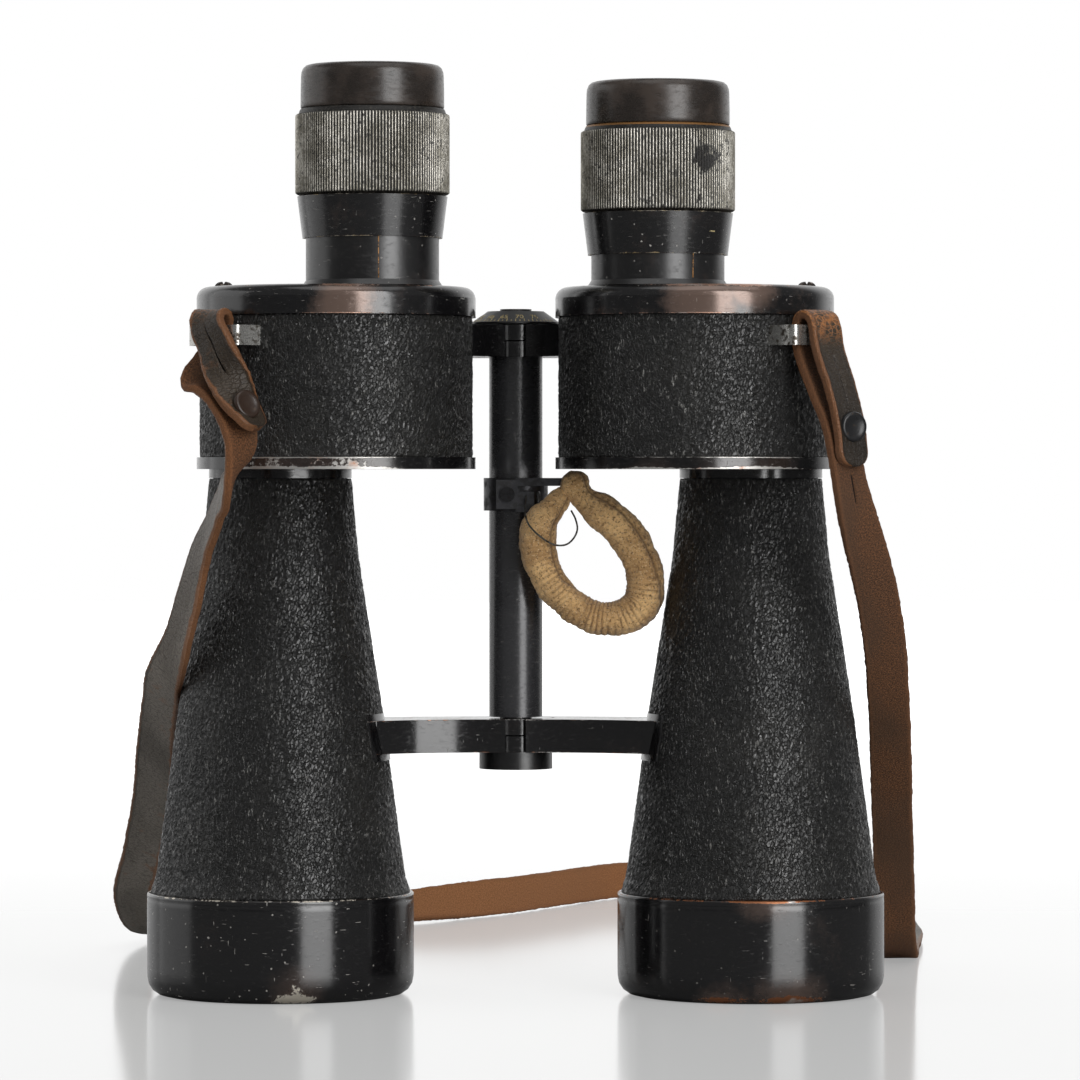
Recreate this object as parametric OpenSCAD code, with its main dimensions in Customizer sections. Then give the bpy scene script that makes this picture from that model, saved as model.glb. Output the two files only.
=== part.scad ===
// Marine binoculars of the 7 by 50 pattern with separately focused eyepieces, a leather neck
// strap and a cloth-covered carrying loop. They stand on the rims of the two objectives.
// The hinge pin lies on the plane x = 0, the front of the part faces -Y, and up is +Z.
// Every paired piece is drawn for the right half, at +X, and mirrored for the left half.

/* [Optical layout] */
// Distance from the hinge plane to an objective axis
objective_x = 53.1; // [52.6:0.1:56]
// Distance of the objective axes behind the origin
objective_y = 7; // [6:0.1:8]
// Distance from the hinge plane to the centre of a prism housing
housing_x = 40.05; // [39.6:0.05:41]
// Distance of the housing centre behind the origin
housing_y = -2; // [-2.5:0.1:-1.5]
// Distance from the hinge plane to an eyepiece axis
eyepiece_x = 31.6; // [31:0.1:33]
// Distance of the eyepiece axes behind the origin
eyepiece_y = -17; // [-18:0.1:-16]
// Distance of the hinge axis behind the origin
hinge_y = 16; // [15.5:0.1:17]

/* [Objective end] */
// Diameter of the objective lens
lens_d = 52; // [50:0.1:54]
// Width of the lip on which the edge of the lens is seated
lens_lip = 1; // [0.8:0.1:1.4]
// Wall of the cell round the lens
cell_wall = 1.2; // [1:0.1:1.6]
// Wall of the rim ring round the cell
rim_wall = 2.9; // [2.6:0.1:3.3]
// Height of the rim ring that the binoculars stand on
rim_h = 23.1; // [22:0.1:25]
// Radius of the rounded lower edge of the rim ring
rim_edge_r = 4; // [2:0.1:4.8]
// Height of the lens edge above the rest surface
lens_z = 7.5; // [7:0.1:9]
// Thickness of the lens at its edge, both glasses together
lens_edge_h = 6.5; // [5.5:0.1:7]

/* [Objective tube] */
// Height of the housing collar above the rest surface, which is the top of the tube
tube_top_z = 116.5; // [114:0.1:120]
// Step from the rim ring in to the leather at the foot of the tube
foot_step = 2; // [1.6:0.1:2.4]
// Outer diameter of the leather at the waist of the tube
waist_d = 35.4; // [34:0.1:36.5]
// Outer diameter of the leather just under the collar
throat_d = 31.8; // [31.2:0.1:33]
// Height of the waist above the rest surface
waist_z = 98; // [92:0.5:102]
// Wall of the metal tube
tube_wall = 1.6; // [1.2:0.1:2]
// Step from the leather out to the collar under the housing
collar_step = 0.2; // [0:0.1:0.5]
// Height of that collar
collar_h = 2; // [1.5:0.1:3]

/* [Prism housing] */
// Diameter of the round ends of the ocular plate and of the lower flange
plate_d = 62.2; // [62:0.1:63]
// Distance between the two round ends
housing_stretch = 8; // [7:0.5:9]
// Height of the lower flange
flange_h = 2.6; // [2:0.1:4]
// Height of the leather-covered wall
body_h = 31.4; // [31:0.1:34]
// Height of the ocular plate
plate_h = 6.5; // [6:0.1:8]
// Radius of the upper edge of the ocular plate
plate_edge_r = 2.5; // [1:0.1:3]
// Step from the plate edge in to the face of the leather
leather_step = 0.8; // [0.5:0.1:1]
// Thickness of the leather covering
leather_t = 0.7; // [0.5:0.1:1]
// Wall of the housing casting
housing_wall = 2; // [1.6:0.1:2.4]
// Roof left over the hollow in the ocular plate
roof_t = 1.6; // [1.4:0.1:1.8]

/* [Prisms] */
// Length of a prism along its long face
prism_l = 45.6; // [42:0.1:47]
// Width of a prism
prism_w = 21; // [18:0.1:22]
// Thickness of the shelf between the prisms
shelf_t = 2; // [1.5:0.1:2.5]
// Height of the shelf above the housing floor
shelf_rise = 18.4; // [18:0.1:19]
// Room left over the upper prism's clip
upper_room = 0.1; // [0.1:0.1:2]
// Room left under the lower prism's clip
lower_room = 1; // [0.8:0.1:3]
// Thickness of the spring clips
clip_t = 0.6; // [0.4:0.1:0.8]

/* [Eyepieces] */
// Outer diameter of the fixed socket
socket_d = 29.5; // [29.3:0.1:29.8]
// Wall of the fixed socket
socket_wall = 1.75; // [1.6:0.05:2]
// Height of the socket above the ocular plate
socket_h = 25; // [23:0.1:26]
// Gap between the plate and the dioptre ring as photographed on the right
focus_gap = 6.8; // [6:0.1:9]
// How much further out the left eyepiece stands
left_raise = 3.75; // [0:0.05:5]
// Height of the tapered dioptre ring
dioptre_h = 9.2; // [8:0.1:11]
// Step from the socket out to the lower edge of the dioptre ring
dioptre_step = 0.75; // [0.6:0.05:1]
// How much the dioptre ring widens on each side up to its upper edge
dioptre_flare = 1.15; // [0.6:0.05:1.4]
// Groove between the dioptre ring and the focus ring
groove_h = 0.4; // [0.3:0.1:1]
// Step from the socket out to the teeth of the focus ring
focus_step = 2.35; // [2.2:0.05:3]
// Height of the focus ring
focus_h = 19.1; // [18.5:0.1:22]
// Number of teeth round the focus ring
tooth_count = 75; // [60:1:90]
// Depth of the teeth
tooth_depth = 0.35; // [0.2:0.05:0.5]
// Step from the teeth in to the side of the eyecup
eyecup_step = 1.2; // [0.6:0.1:1.6]
// Height of the eyecup
eyecup_h = 9.6; // [8:0.1:12]
// Width of the eyecup's rim round its mouth
eyecup_rim = 2.9; // [2.4:0.1:3.6]
// Wall of the sliding barrel round the field lens
barrel_wall = 1.75; // [1.4:0.05:2.2]
// Wall of the barrel's neck round the eye lens
neck_wall = 2.05; // [1.6:0.05:2.4]

/* [Hinge] */
// Diameter of the hinge spindle
spindle_d = 7.2; // [6:0.1:8]
// Diameter of the column round the spindle
column_d = 12.1; // [11.5:0.1:13]
// Diameter of the knuckles
knuckle_d = 16.8; // [16:0.1:17.2]
// Radial clearance of a knuckle that turns on the spindle
knuckle_play = 0.05; // [0.02:0.01:0.09]
// Gap between pieces that turn against each other
turning_gap = 0.3; // [0.3:0.05:0.4]
// Height of the upper arms
upper_arm_h = 7.2; // [7:0.1:8]
// Step from the ocular plate down to the upper arms
upper_arm_drop = 1.4; // [1.2:0.1:2]
// Height of the underside of the lower arms
lower_arm_z = 54.5; // [50:0.5:58]
// Height of the lower arms
lower_arm_h = 7.5; // [7:0.1:9]
// Half the gap between the two arms in front of the knuckles
arm_gap = 2.3; // [2:0.1:2.6]
// Distance from the hinge axis to the front face of the arms
arm_front = 9.7; // [9.4:0.1:10]
// Diameter of the interpupillary dial at its foot
dial_d = 19.8; // [18:0.1:20.4]
// Diameter of the dial at its top
dial_top_d = 12.8; // [12:0.1:14]
// Height of the dial
dial_h = 2.9; // [2.5:0.1:4]
// Diameter of the nut under the hinge
nut_d = 16.6; // [14:0.1:17]
// Height of the nut
nut_h = 4; // [3:0.1:6]

/* [Column clamp] */
// Height of the underside of the clamp on the column
clamp_z = 109.1; // [104:0.1:109.5]
// Height of the clamp
clamp_h = 7.4; // [7:0.1:9]
// Wall of the clamp round the column
clamp_wall = 1.25; // [1:0.05:1.6]
// Diameter of the clamp screw's head
clamp_screw_d = 3.4; // [3:0.1:4]

/* [Strap and its fittings] */
// Width of the neck strap
strap_w = 9.5; // [8:0.1:10]
// Thickness of the neck strap
strap_t = 2; // [1.6:0.1:2.2]
// Angle round the housing at which a strap lug stands
lug_angle = 43; // [41:1:45]
// Distance from the plate edge out to the lug's bar
lug_reach = 4.4; // [4:0.1:4.6]
// Length of the lug's bar
lug_w = 16.6; // [15:0.1:17]
// Height of the lug's strip
lug_h = 4.4; // [3:0.1:5]
// Thickness of the lug's strip
lug_t = 1.8; // [1.4:0.1:2]
// Diameter of the stud that closes each end of the strap
stud_d = 6.6; // [5:0.1:7.5]

/* [Hidden] */
SIDES = ["right", "left"];
PAIRED = ["prism_housing", "housing_leather", "ocular_plate", "plate_screws", "objective_tube",
          "tube_leather", "objective_ring", "lens_cell", "objective_lens", "lens_retainer",
          "prism_shelf", "lower_prism", "upper_prism", "prism_clips", "lower_arm", "strap_lug",
          "eyepiece_socket", "eyepiece_barrel", "field_lens", "eye_lens", "dioptre_ring",
          "focus_ring", "eyecup"];
CENTRAL = ["hinge_spindle", "hinge_column", "distance_dial", "hinge_nut", "clamp_collar",
           "clamp_screw", "loop_hook", "loop_wire", "carrying_loop", "strap_right",
           "strap_middle", "strap_left", "strap_stud_right", "strap_stud_left"];
NODES = concat([for (s = SIDES, n = PAIRED) str(n, "_", s)], CENTRAL);
node = "all";
$fn = 96;
eps = 0.01;

// Heights, from the rest surface up
flange_z = tube_top_z + collar_h;
body_z = flange_z + flange_h;
plate_z = body_z + body_h;
plate_top_z = plate_z + plate_h;
shelf_z = body_z + shelf_rise;
dioptre_z = plate_top_z + focus_gap;
focus_z = dioptre_z + dioptre_h + groove_h;
eyecup_z = focus_z + focus_h;
upper_arm_z = plate_z - upper_arm_drop - upper_arm_h;

// Radii and clearances that several pieces share
aperture_r = lens_d / 2 - lens_lip;
cell_r = lens_d / 2 + cell_wall;
rim_r = cell_r + rim_wall;
foot_r = rim_r - foot_step;
throat_bore_r = throat_d / 2 - leather_t - tube_wall;
collar_r = throat_d / 2 + collar_step;
leather_r = plate_d / 2 - leather_step;
body_r = leather_r - leather_t;
inner_r = body_r - housing_wall;
ledge_r = inner_r - 1.6;
shelf_play = 0.1;
prism_play = 0.3;
upper_prism_h = body_h + plate_h - roof_t - shelf_rise - shelf_t - clip_t - upper_room;
lower_prism_h = shelf_rise - clip_t - lower_room;
spigot_r = throat_bore_r + 0.9;
spigot_h = flange_h + 0.6;
foot_z = rim_h + 3.4;
foot_flare = 1.1;
cell_lip = 2;
cell_skirt = 2.2;
retainer_h = 1.8;
lip_step = 0.2;
spigot_top_z = lens_z + lens_edge_h + cell_lip;
screw_ring_r = inner_r - 2.1;
screw_head_r = 2;
screw_head_h = 1.2;
screw_r = 1;
boss_r = 2.6;
pad_play = 0.2;
pad_rise = 1.5;
pad_t = 0.6;
leather_play = 0.2;

// Eyepiece fits
barrel_play = 0.05;
ring_play = 0.08;
socket_bore_r = socket_d / 2 - socket_wall;
barrel_r = socket_bore_r - barrel_play;
barrel_neck_r = barrel_r - 1.4;
field_lens_r = barrel_r - barrel_wall;
eye_lens_r = barrel_neck_r - neck_wall;
barrel_bore_r = eye_lens_r - 0.8;
barrel_low_z = dioptre_z - 4.3;
skirt_bore_r = socket_d / 2 + ring_play;
socket_spigot_r = socket_bore_r + socket_wall / 2;
web_h = 4;
web_z = eyecup_z - web_h;
lens_seat_h = 6;
focus_r = socket_d / 2 + focus_step;
spigot_lip_r = focus_r - 0.9;
eyecup_r = focus_r - eyecup_step;
tooth_step = 0.15;

// Colours
BLACK_LACQUER = [0.06, 0.06, 0.065];
BLACK_LEATHER = [0.13, 0.13, 0.13];
WORN_METAL = [0.62, 0.6, 0.56];
DARK_METAL = [0.2, 0.2, 0.21];
BROWN_LEATHER = [0.36, 0.23, 0.13];
TAN_CLOTH = [0.6, 0.5, 0.35];
BROWN_CUP = [0.12, 0.09, 0.08];
GLASS = [0.62, 0.72, 0.78];

// The neck strap's route, from the end of its right tab to the end of its left one: the place
// of the strap's middle, then the direction in which its width lies
STRAP = [
    [73.7, -37.4, 119, 0.68, 0.73, 0], [72.9, -36.6, 127.7, 0.68, 0.73, 0],
    [70.8, -34.7, 137, 0.68, 0.73, 0], [68.3, -32.4, 146, 0.68, 0.73, 0],
    [67.8, -31.8, 149.8, 0.68, 0.73, 0], [67.2, -31.3, 151.6, 0.68, 0.73, 0],
    [66, -30.2, 152.4, 0.68, 0.73, 0], [64.8, -29.1, 151.6, 0.68, 0.73, 0],
    [64.3, -28.6, 149.6, 0.68, 0.73, 0], [64.6, -28.9, 145, 0.68, 0.73, 0],
    [67.5, -31.5, 136, 0.68, 0.73, 0], [70.9, -34.7, 127, 0.7, 0.71, 0],
    [72.4, -36, 119, 0.72, 0.69, 0], [74, -35.2, 111, 0.78, 0.62, 0],
    [77.2, -29, 100.5, 0.87, 0.48, 0], [80.3, -18.5, 89.5, 0.93, 0.35, 0],
    [82.7, -6, 78, 0.97, 0.24, 0], [84.3, 8, 66, 1, 0.1, 0],
    [85.6, 22.5, 54, 1, 0, 0], [86.8, 37, 42, 1, 0, 0],
    [88, 51.5, 30, 1, 0, 0], [89.2, 65.5, 17.5, 1, 0, 0],
    [90.3, 78, 7, 1, 0, 0], [91.6, 92, 2.2, 1, 0, 0],
    [93.5, 115, 1.8, 1, 0, -0.08], [96, 140, 2.8, 0.96, 0, -0.3],
    [98.5, 168, 4.3, 0.7, 0, -0.7], [100, 198, 5, 0.3, 0, -1],
    [99, 232, 5, 0, 0, -1], [93, 266, 5, 0, 0, -1],
    [80, 296, 5, 0, 0, -1], [60, 314, 5, 0, 0, -1],
    [41, 314, 5, 0, 0, -1], [27, 300, 5, 0, 0, -1],
    [11, 270, 5, 0, 0, -1], [-7, 237, 5, 0.1, -0.1, -1],
    [-27, 215, 4.4, 0.45, -0.5, -0.75], [-49, 199, 2.7, 0.55, -0.8, -0.25],
    [-72, 180, 1.5, 0.65, -0.8, 0], [-86, 162, 1.8, 0.75, -0.65, 0],
    [-93, 145, 4, 0.82, -0.57, 0], [-94.9, 126, 12.5, 0.88, -0.47, 0],
    [-90.7, 100, 26, 0.85, -0.52, 0], [-86.8, 75, 39.8, 0.78, -0.62, 0],
    [-83.9, 47, 53.2, 0.68, -0.73, 0], [-80.8, 19, 66, 0.62, -0.78, -0.1],
    [-78.9, 4, 72, 0.58, -0.81, -0.1], [-76, -6, 78.1, 0.55, -0.83, -0.1],
    [-72.6, -12.5, 89.4, 0.5, -0.86, -0.1], [-69.5, -17, 100, 0.38, -0.92, -0.1],
    [-67, -21.5, 105.5, 0.25, -0.96, -0.1], [-64.6, -27.5, 110.8, 0.2, -0.98, 0],
    [-62.1, -35, 116.1, 0.1, -0.99, 0], [-60.3, -36.8, 120.7, -0.4, -0.9, 0],
    [-59.8, -36.8, 125, -0.65, -0.75, 0], [-60.8, -36.1, 129, -0.75, -0.65, 0],
    [-62.6, -34.5, 132.3, -0.85, -0.5, 0.1], [-66, -31, 135.4, -0.9, -0.2, 0.3],
    [-68.8, -28, 138.6, -0.85, 0.4, 0.3], [-67.4, -26.8, 141.5, -0.72, 0.66, 0.1],
    [-65.4, -27.1, 145.2, -0.68, 0.73, 0], [-65.5, -27.4, 149.6, -0.68, 0.73, 0],
    [-65.7, -28.1, 151.6, -0.68, 0.73, 0], [-66.5, -29.7, 152.4, -0.68, 0.73, 0],
    [-67.2, -31.4, 151.6, -0.68, 0.73, 0], [-67.2, -32.5, 149.8, -0.68, 0.73, 0],
    [-65.6, -34.4, 146, -0.75, 0.65, 0], [-63.7, -35.9, 141, -0.93, 0.35, 0],
    [-61.8, -37, 137, -0.95, -0.25, 0], [-59.9, -37.8, 133, -0.8, -0.6, 0],
    [-57.6, -38.9, 129.6, -0.65, -0.75, 0.1], [-55.9, -39.7, 127.3, -0.62, -0.78, 0.1]];
STRAP_ENDS_RIGHT = 23;
STRAP_ENDS_MIDDLE = 40;
STRAP_CORNER = 0.7;

// The middle line of the carrying loop, from its knob to its neck, then its radius
LOOP = [
    [13.1, 7.2, 117, 1.1], [13.2, 7.2, 116, 2.2], [13.6, 7, 113.6, 2.8],
    [15, 6.4, 110.9, 2.6], [17.8, 5.8, 109.2, 2.8], [21.2, 5.5, 107.9, 3.1],
    [24.2, 5.5, 105.6, 3.8], [26.4, 5.5, 102.2, 4.2], [28.4, 5.5, 98, 4.25],
    [29.3, 5.5, 93.4, 4.2], [29.1, 5.5, 89.6, 4], [27.2, 5.5, 86.4, 3.8],
    [24, 5.5, 84.7, 3.6], [20, 5.5, 84.5, 3.55], [15.4, 5.5, 86, 3.6],
    [11.2, 5.5, 89, 3.7], [8.4, 5.5, 92.9, 3.8], [6.6, 5.4, 97.2, 3.9],
    [5.3, 5.2, 101.2, 4.1], [4.6, 5.2, 104.6, 4.1], [4.7, 5.4, 107, 2.7],
    [5, 5.7, 108.6, 1.3], [5.2, 6, 109.4, 0.9]];
LOOP_SIDES = 12;

// The wire that ties the loop to the clamp
WIRE = [
    [3, 6.3, 109.4], [2.2, 3.2, 108.2], [3, 0.7, 106], [4.8, 0, 104],
    [6.9, 0.3, 101.9], [9.2, 0.8, 100.6], [11.5, 1.4, 100.7], [13.1, 2, 102.1],
    [13.9, 2.6, 104.3], [13.4, 3.1, 106.6], [12.3, 3.4, 108]];
WIRE_R = 0.25;
WIRE_SIDES = 8;

// Places a right-hand piece on its own side, and mirrors it for the left half
module on_side(s) {
    if (s == "left") mirror([1, 0, 0]) children();
    else children();
}

// Raises the left eyepiece, which is screwed further out
module focused(s) {
    translate([0, 0, s == "left" ? left_raise : 0]) children();
}

module at_objective() {
    translate([objective_x, objective_y, 0]) children();
}

module at_eyepiece() {
    translate([eyepiece_x, eyepiece_y, 0]) children();
}

module at_hinge() {
    translate([0, hinge_y, 0]) children();
}

// A ring round the Z axis, from z0 up
module ring(outer_r, inner_r, z0, h) {
    translate([0, 0, z0]) difference() {
        cylinder(r = outer_r, h = h);
        translate([0, 0, -eps]) cylinder(r = inner_r, h = h + 2 * eps);
    }
}

// The housing's plan with round ends of radius r, standing from z0 up
module oval(r, z0, h) {
    translate([housing_x, housing_y, z0]) {
        for (side = [-1, 1]) translate([0, side * housing_stretch / 2, 0]) cylinder(r = r, h = h);
        translate([-r, -housing_stretch / 2, 0]) cube([2 * r, housing_stretch, h]);
    }
}

// A half profile from the axis out to r, with its upper outer corner rounded
module rounded_profile(r, h, corner) {
    square([r - corner, h]);
    square([r, h - corner]);
    translate([r - corner, h - corner]) circle(r = corner, $fn = 32);
}

// The housing's plan with a rounded upper edge
module rounded_oval(r, z0, h, corner) {
    translate([housing_x, housing_y, z0]) {
        for (side = [-1, 1])
            translate([0, side * housing_stretch / 2, 0])
                rotate_extrude() rounded_profile(r, h, corner);
        translate([0, housing_stretch / 2, 0]) rotate([90, 0, 0])
            linear_extrude(housing_stretch) for (turn = [0, 1])
                mirror([turn, 0]) rounded_profile(r, h, corner);
    }
}

// The radius of the leather on the objective tube at a height
function leather_tube_r(z) = lookup(z, [
    [rim_h, foot_r + foot_flare], [foot_z, foot_r], [waist_z, waist_d / 2],
    [tube_top_z, throat_d / 2]]);

// The tube's outside between two heights, stepped in from the leather by inset
module tube_outside(inset, z0, z1) {
    levels = [for (z = [z0, foot_z, waist_z, z1]) min(max(z, z0), z1)];
    rotate_extrude() polygon(concat([[0, z0]],
        [for (z = levels) [leather_tube_r(z) - inset, z]], [[0, z1]]));
}

// The ring's lower edge turns in to a lip, on which the lens cell is seated
module objective_ring() {
    lip_h = lens_z - cell_skirt;
    color(BLACK_LACQUER) at_objective() difference() {
        rotate_extrude() translate([0, rim_h]) mirror([0, 1])
            rounded_profile(rim_r, rim_h, rim_edge_r);
        translate([0, 0, -1]) cylinder(r = aperture_r + lip_step, h = rim_h + 2);
        translate([0, 0, lip_h]) cylinder(r = cell_r, h = rim_h);
    }
}

module lens_cell() {
    color(DARK_METAL) at_objective() translate([0, 0, lens_z - cell_skirt]) difference() {
        cylinder(r = cell_r, h = spigot_top_z - lens_z + cell_skirt);
        translate([0, 0, -eps]) cylinder(r = lens_d / 2, h = lens_edge_h + cell_skirt + eps);
        cylinder(r = aperture_r, h = rim_h);
    }
}

module lens_retainer() {
    color(DARK_METAL) at_objective()
        ring(lens_d / 2, aperture_r, lens_z - retainer_h, retainer_h);
}

// Two cemented glasses, drawn as one: the face towards the scene bulges down out of the edge
module objective_lens() {
    ball_r = 130;
    sag = ball_r - sqrt(ball_r * ball_r - aperture_r * aperture_r);
    color(GLASS) at_objective() translate([0, 0, lens_z]) {
        cylinder(r = lens_d / 2, h = lens_edge_h);
        rotate_extrude() intersection() {
            translate([0, ball_r - sag]) circle(r = ball_r, $fn = 256);
            translate([0, -sag - 1]) square([aperture_r, sag + 1 + eps]);
        }
    }
}

// A metal tube that tapers up to the housing, with a spigot at the foot, a collar and a throat
module objective_tube() {
    color(DARK_METAL) at_objective() difference() {
        union() {
            tube_outside(leather_t, rim_h, tube_top_z);
            translate([0, 0, spigot_top_z]) cylinder(r = cell_r, h = rim_h - spigot_top_z);
            translate([0, 0, tube_top_z]) cylinder(r = collar_r, h = collar_h);
            translate([0, 0, flange_z]) cylinder(r = spigot_r, h = spigot_h);
        }
        tube_outside(leather_t + tube_wall, rim_h, tube_top_z);
        translate([0, 0, spigot_top_z - eps])
            cylinder(r = cell_r - tube_wall, h = rim_h - spigot_top_z + 2 * eps);
        translate([0, 0, tube_top_z - eps])
            cylinder(r = throat_bore_r, h = collar_h + spigot_h + 3 * eps);
    }
}

module tube_leather() {
    color(BLACK_LEATHER) difference() {
        at_objective() difference() {
            tube_outside(0, rim_h, tube_top_z);
            tube_outside(leather_t, rim_h, tube_top_z);
        }
        pad_block(pad_play);
    }
}

// A circle to cut away, so that the side from point a to point b is hollow by depth
module hollow(a, b, depth) {
    chord = b - a;
    length = norm(chord);
    r = length * length / (8 * depth) + depth / 2;
    outward = [chord[1], -chord[0]] / length;
    translate((a + b) / 2 + outward * (r - depth)) circle(r = r, $fn = 180);
}

// The plan of the upper arm, seen from the hinge axis: it runs into the housing's wall
module upper_arm_plan() {
    root = housing_x - inner_r + 11;
    front = [housing_x - body_r + 0.4, -arm_front - 8];
    difference() {
        polygon([[arm_gap, -arm_front], front, [root, front[1]], [root, arm_front],
                 [arm_gap, arm_front]]);
        hollow([arm_gap, -arm_front], front, 1.3);
    }
}

// The plan of the lower arm, which runs out to the tube and widens on its way
module lower_arm_plan() {
    reach = objective_x - leather_tube_r(lower_arm_z + lower_arm_h / 2);
    front = [reach + 1.5, -arm_front - 8.3];
    difference() {
        polygon([[arm_gap, -arm_front], front, [reach + 8, front[1] - 2],
                 [reach + 8, 6], [reach + 2, 6], [arm_gap, arm_front]]);
        hollow([arm_gap, -arm_front], front, 3);
    }
}

// An arm with its knuckle at the hinge. The other half's knuckle fills the rest of its height.
module arm(z0, h, knuckle_above) {
    own_h = (h - turning_gap) / 2;
    own_z = knuckle_above ? z0 + h - own_h : z0;
    room_z = knuckle_above ? z0 - eps : z0 + own_h;
    translate([0, 0, own_z]) cylinder(r = knuckle_d / 2, h = own_h);
    difference() {
        translate([0, 0, z0]) linear_extrude(h) children();
        translate([0, 0, room_z])
            cylinder(r = knuckle_d / 2 + turning_gap, h = h - own_h + eps);
    }
}

// The hole for the spindle: one half is fixed to the spindle and the other turns on it
module spindle_bore(z0, h, turns) {
    translate([0, 0, z0 - 1])
        cylinder(r = spindle_d / 2 + (turns ? knuckle_play : 0), h = h + 2);
}

// Where the three plate screws stand round the housing
module at_plate_screws() {
    places = [[-1, -14], [1, 52], [1, 128]];
    for (p = places)
        translate([housing_x, housing_y + p[0] * housing_stretch / 2, 0])
            rotate(p[1]) translate([screw_ring_r, 0, 0]) children();
}

// The casting round the prisms: a lower flange, a wall with a ledge for the shelf and an arm
module prism_housing(s) {
    on_left = s == "left";
    pillar_z = shelf_z + shelf_t + 0.5;
    color(DARK_METAL) difference() {
        union() {
            oval(plate_d / 2, flange_z, flange_h);
            oval(body_r, body_z, body_h);
            at_hinge() arm(upper_arm_z, upper_arm_h, on_left) upper_arm_plan();
        }
        oval(ledge_r, body_z, shelf_rise + eps);
        difference() {
            oval(inner_r, shelf_z, plate_z - shelf_z + 1);
            at_plate_screws() translate([0, 0, pillar_z]) cylinder(r = boss_r, h = body_h);
        }
        at_plate_screws() translate([0, 0, plate_z - 8]) cylinder(r = screw_r, h = 9);
        at_objective() translate([0, 0, flange_z - 1]) cylinder(r = spigot_r, h = flange_h + 2);
        at_hinge() spindle_bore(upper_arm_z, upper_arm_h, on_left);
    }
}

module housing_leather() {
    color(BLACK_LEATHER) difference() {
        oval(leather_r, body_z, body_h);
        oval(body_r, body_z - 1, body_h + 2);
        at_hinge() translate([0, 0, upper_arm_z - leather_play])
            linear_extrude(upper_arm_h + 2 * leather_play) offset(delta = leather_play)
                upper_arm_plan();
        at_lug() translate([0, 0, -leather_play]) linear_extrude(lug_h + 2 * leather_play)
            lug_plan(leather_play);
    }
}

// The plate that closes the housing and carries the eyepiece
module ocular_plate() {
    hollow_h = plate_h - roof_t;
    color(BLACK_LACQUER) difference() {
        rounded_oval(plate_d / 2, plate_z, plate_h, plate_edge_r);
        difference() {
            oval(inner_r, plate_z - 1, hollow_h + 1);
            at_plate_screws() translate([0, 0, plate_z - 2]) cylinder(r = boss_r, h = plate_h);
        }
        at_plate_screws() translate([0, 0, plate_z - 1]) cylinder(r = screw_r, h = plate_h + 2);
        at_eyepiece() translate([0, 0, plate_z]) cylinder(r = socket_spigot_r, h = plate_h + 1);
    }
}

module plate_screws() {
    shank_l = plate_h + 5;
    color(WORN_METAL) at_plate_screws() {
        difference() {
            translate([0, 0, plate_top_z]) cylinder(r = screw_head_r, h = screw_head_h);
            translate([-3, -0.3, plate_top_z + screw_head_h - 0.5]) cube([6, 0.6, 1]);
        }
        translate([0, 0, plate_top_z - shank_l]) cylinder(r = screw_r, h = shank_l);
    }
}

// The place on the hinge side where the light turns from one prism to the other
prism_corner = [(objective_x + eyepiece_x) / 2 - (objective_y - eyepiece_y) / 2,
                (objective_y + eyepiece_y) / 2 + (objective_x - eyepiece_x) / 2];

// Stands children on a prism's seat: the middle between the corner and the far end, turned along
module at_prism(far_end) {
    along = far_end - prism_corner;
    middle = (far_end + prism_corner) / 2;
    translate([middle[0], middle[1], 0]) rotate(atan2(along[1], along[0])) children();
}

module prism(h) {
    half = prism_l / 2;
    rotate([90, 0, 0]) linear_extrude(prism_w, center = true)
        polygon([[-half, 0], [half, 0], [half - h, h], [h - half, h]]);
}

module prism_shelf() {
    holes = [[objective_x, objective_y], prism_corner, [eyepiece_x, eyepiece_y]];
    color(DARK_METAL) difference() {
        oval(inner_r - shelf_play, shelf_z, shelf_t);
        for (p = holes) translate([p[0], p[1], shelf_z - 1]) cylinder(r = 7.5, h = shelf_t + 2);
    }
}

module upper_prism() {
    color(GLASS) intersection() {
        at_prism([objective_x, objective_y]) translate([0, 0, shelf_z + shelf_t])
            prism(upper_prism_h);
        oval(inner_r - prism_play, shelf_z, body_h);
    }
}

module lower_prism() {
    color(GLASS) intersection() {
        at_prism([eyepiece_x, eyepiece_y]) translate([0, 0, shelf_z]) rotate([180, 0, 0])
            prism(lower_prism_h);
        oval(ledge_r - prism_play, body_z, body_h);
    }
}

// A bent strip that goes over a prism and stands on the shelf with a foot on each side
module clip(h) {
    strip_w = 6;
    foot_l = 2;
    over_w = prism_w + 2 * clip_t;
    translate([-strip_w / 2, -over_w / 2, 0]) difference() {
        cube([strip_w, over_w, h + clip_t]);
        translate([-1, clip_t, -1]) cube([strip_w + 2, prism_w, h + 1]);
    }
    for (side = [0, 1]) mirror([0, side, 0])
        translate([-strip_w / 2, over_w / 2, 0]) cube([strip_w, foot_l, clip_t]);
}

module prism_clips() {
    color(WORN_METAL) {
        at_prism([objective_x, objective_y]) translate([0, 0, shelf_z + shelf_t])
            clip(upper_prism_h);
        at_prism([eyepiece_x, eyepiece_y]) translate([0, 0, shelf_z]) rotate([180, 0, 0])
            clip(lower_prism_h);
    }
}

// The lower arm of the hinge, with a pad that is bedded through the leather onto the tube
module lower_arm(s) {
    on_left = s == "left";
    color(BLACK_LACQUER) difference() {
        union() {
            at_hinge() arm(lower_arm_z, lower_arm_h, on_left) lower_arm_plan();
            intersection() {
                at_objective() tube_outside(-pad_t, rim_h, tube_top_z);
                pad_block(0);
            }
        }
        at_objective() tube_outside(leather_t, rim_h, tube_top_z);
        at_hinge() spindle_bore(lower_arm_z, lower_arm_h, on_left);
    }
}

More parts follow.
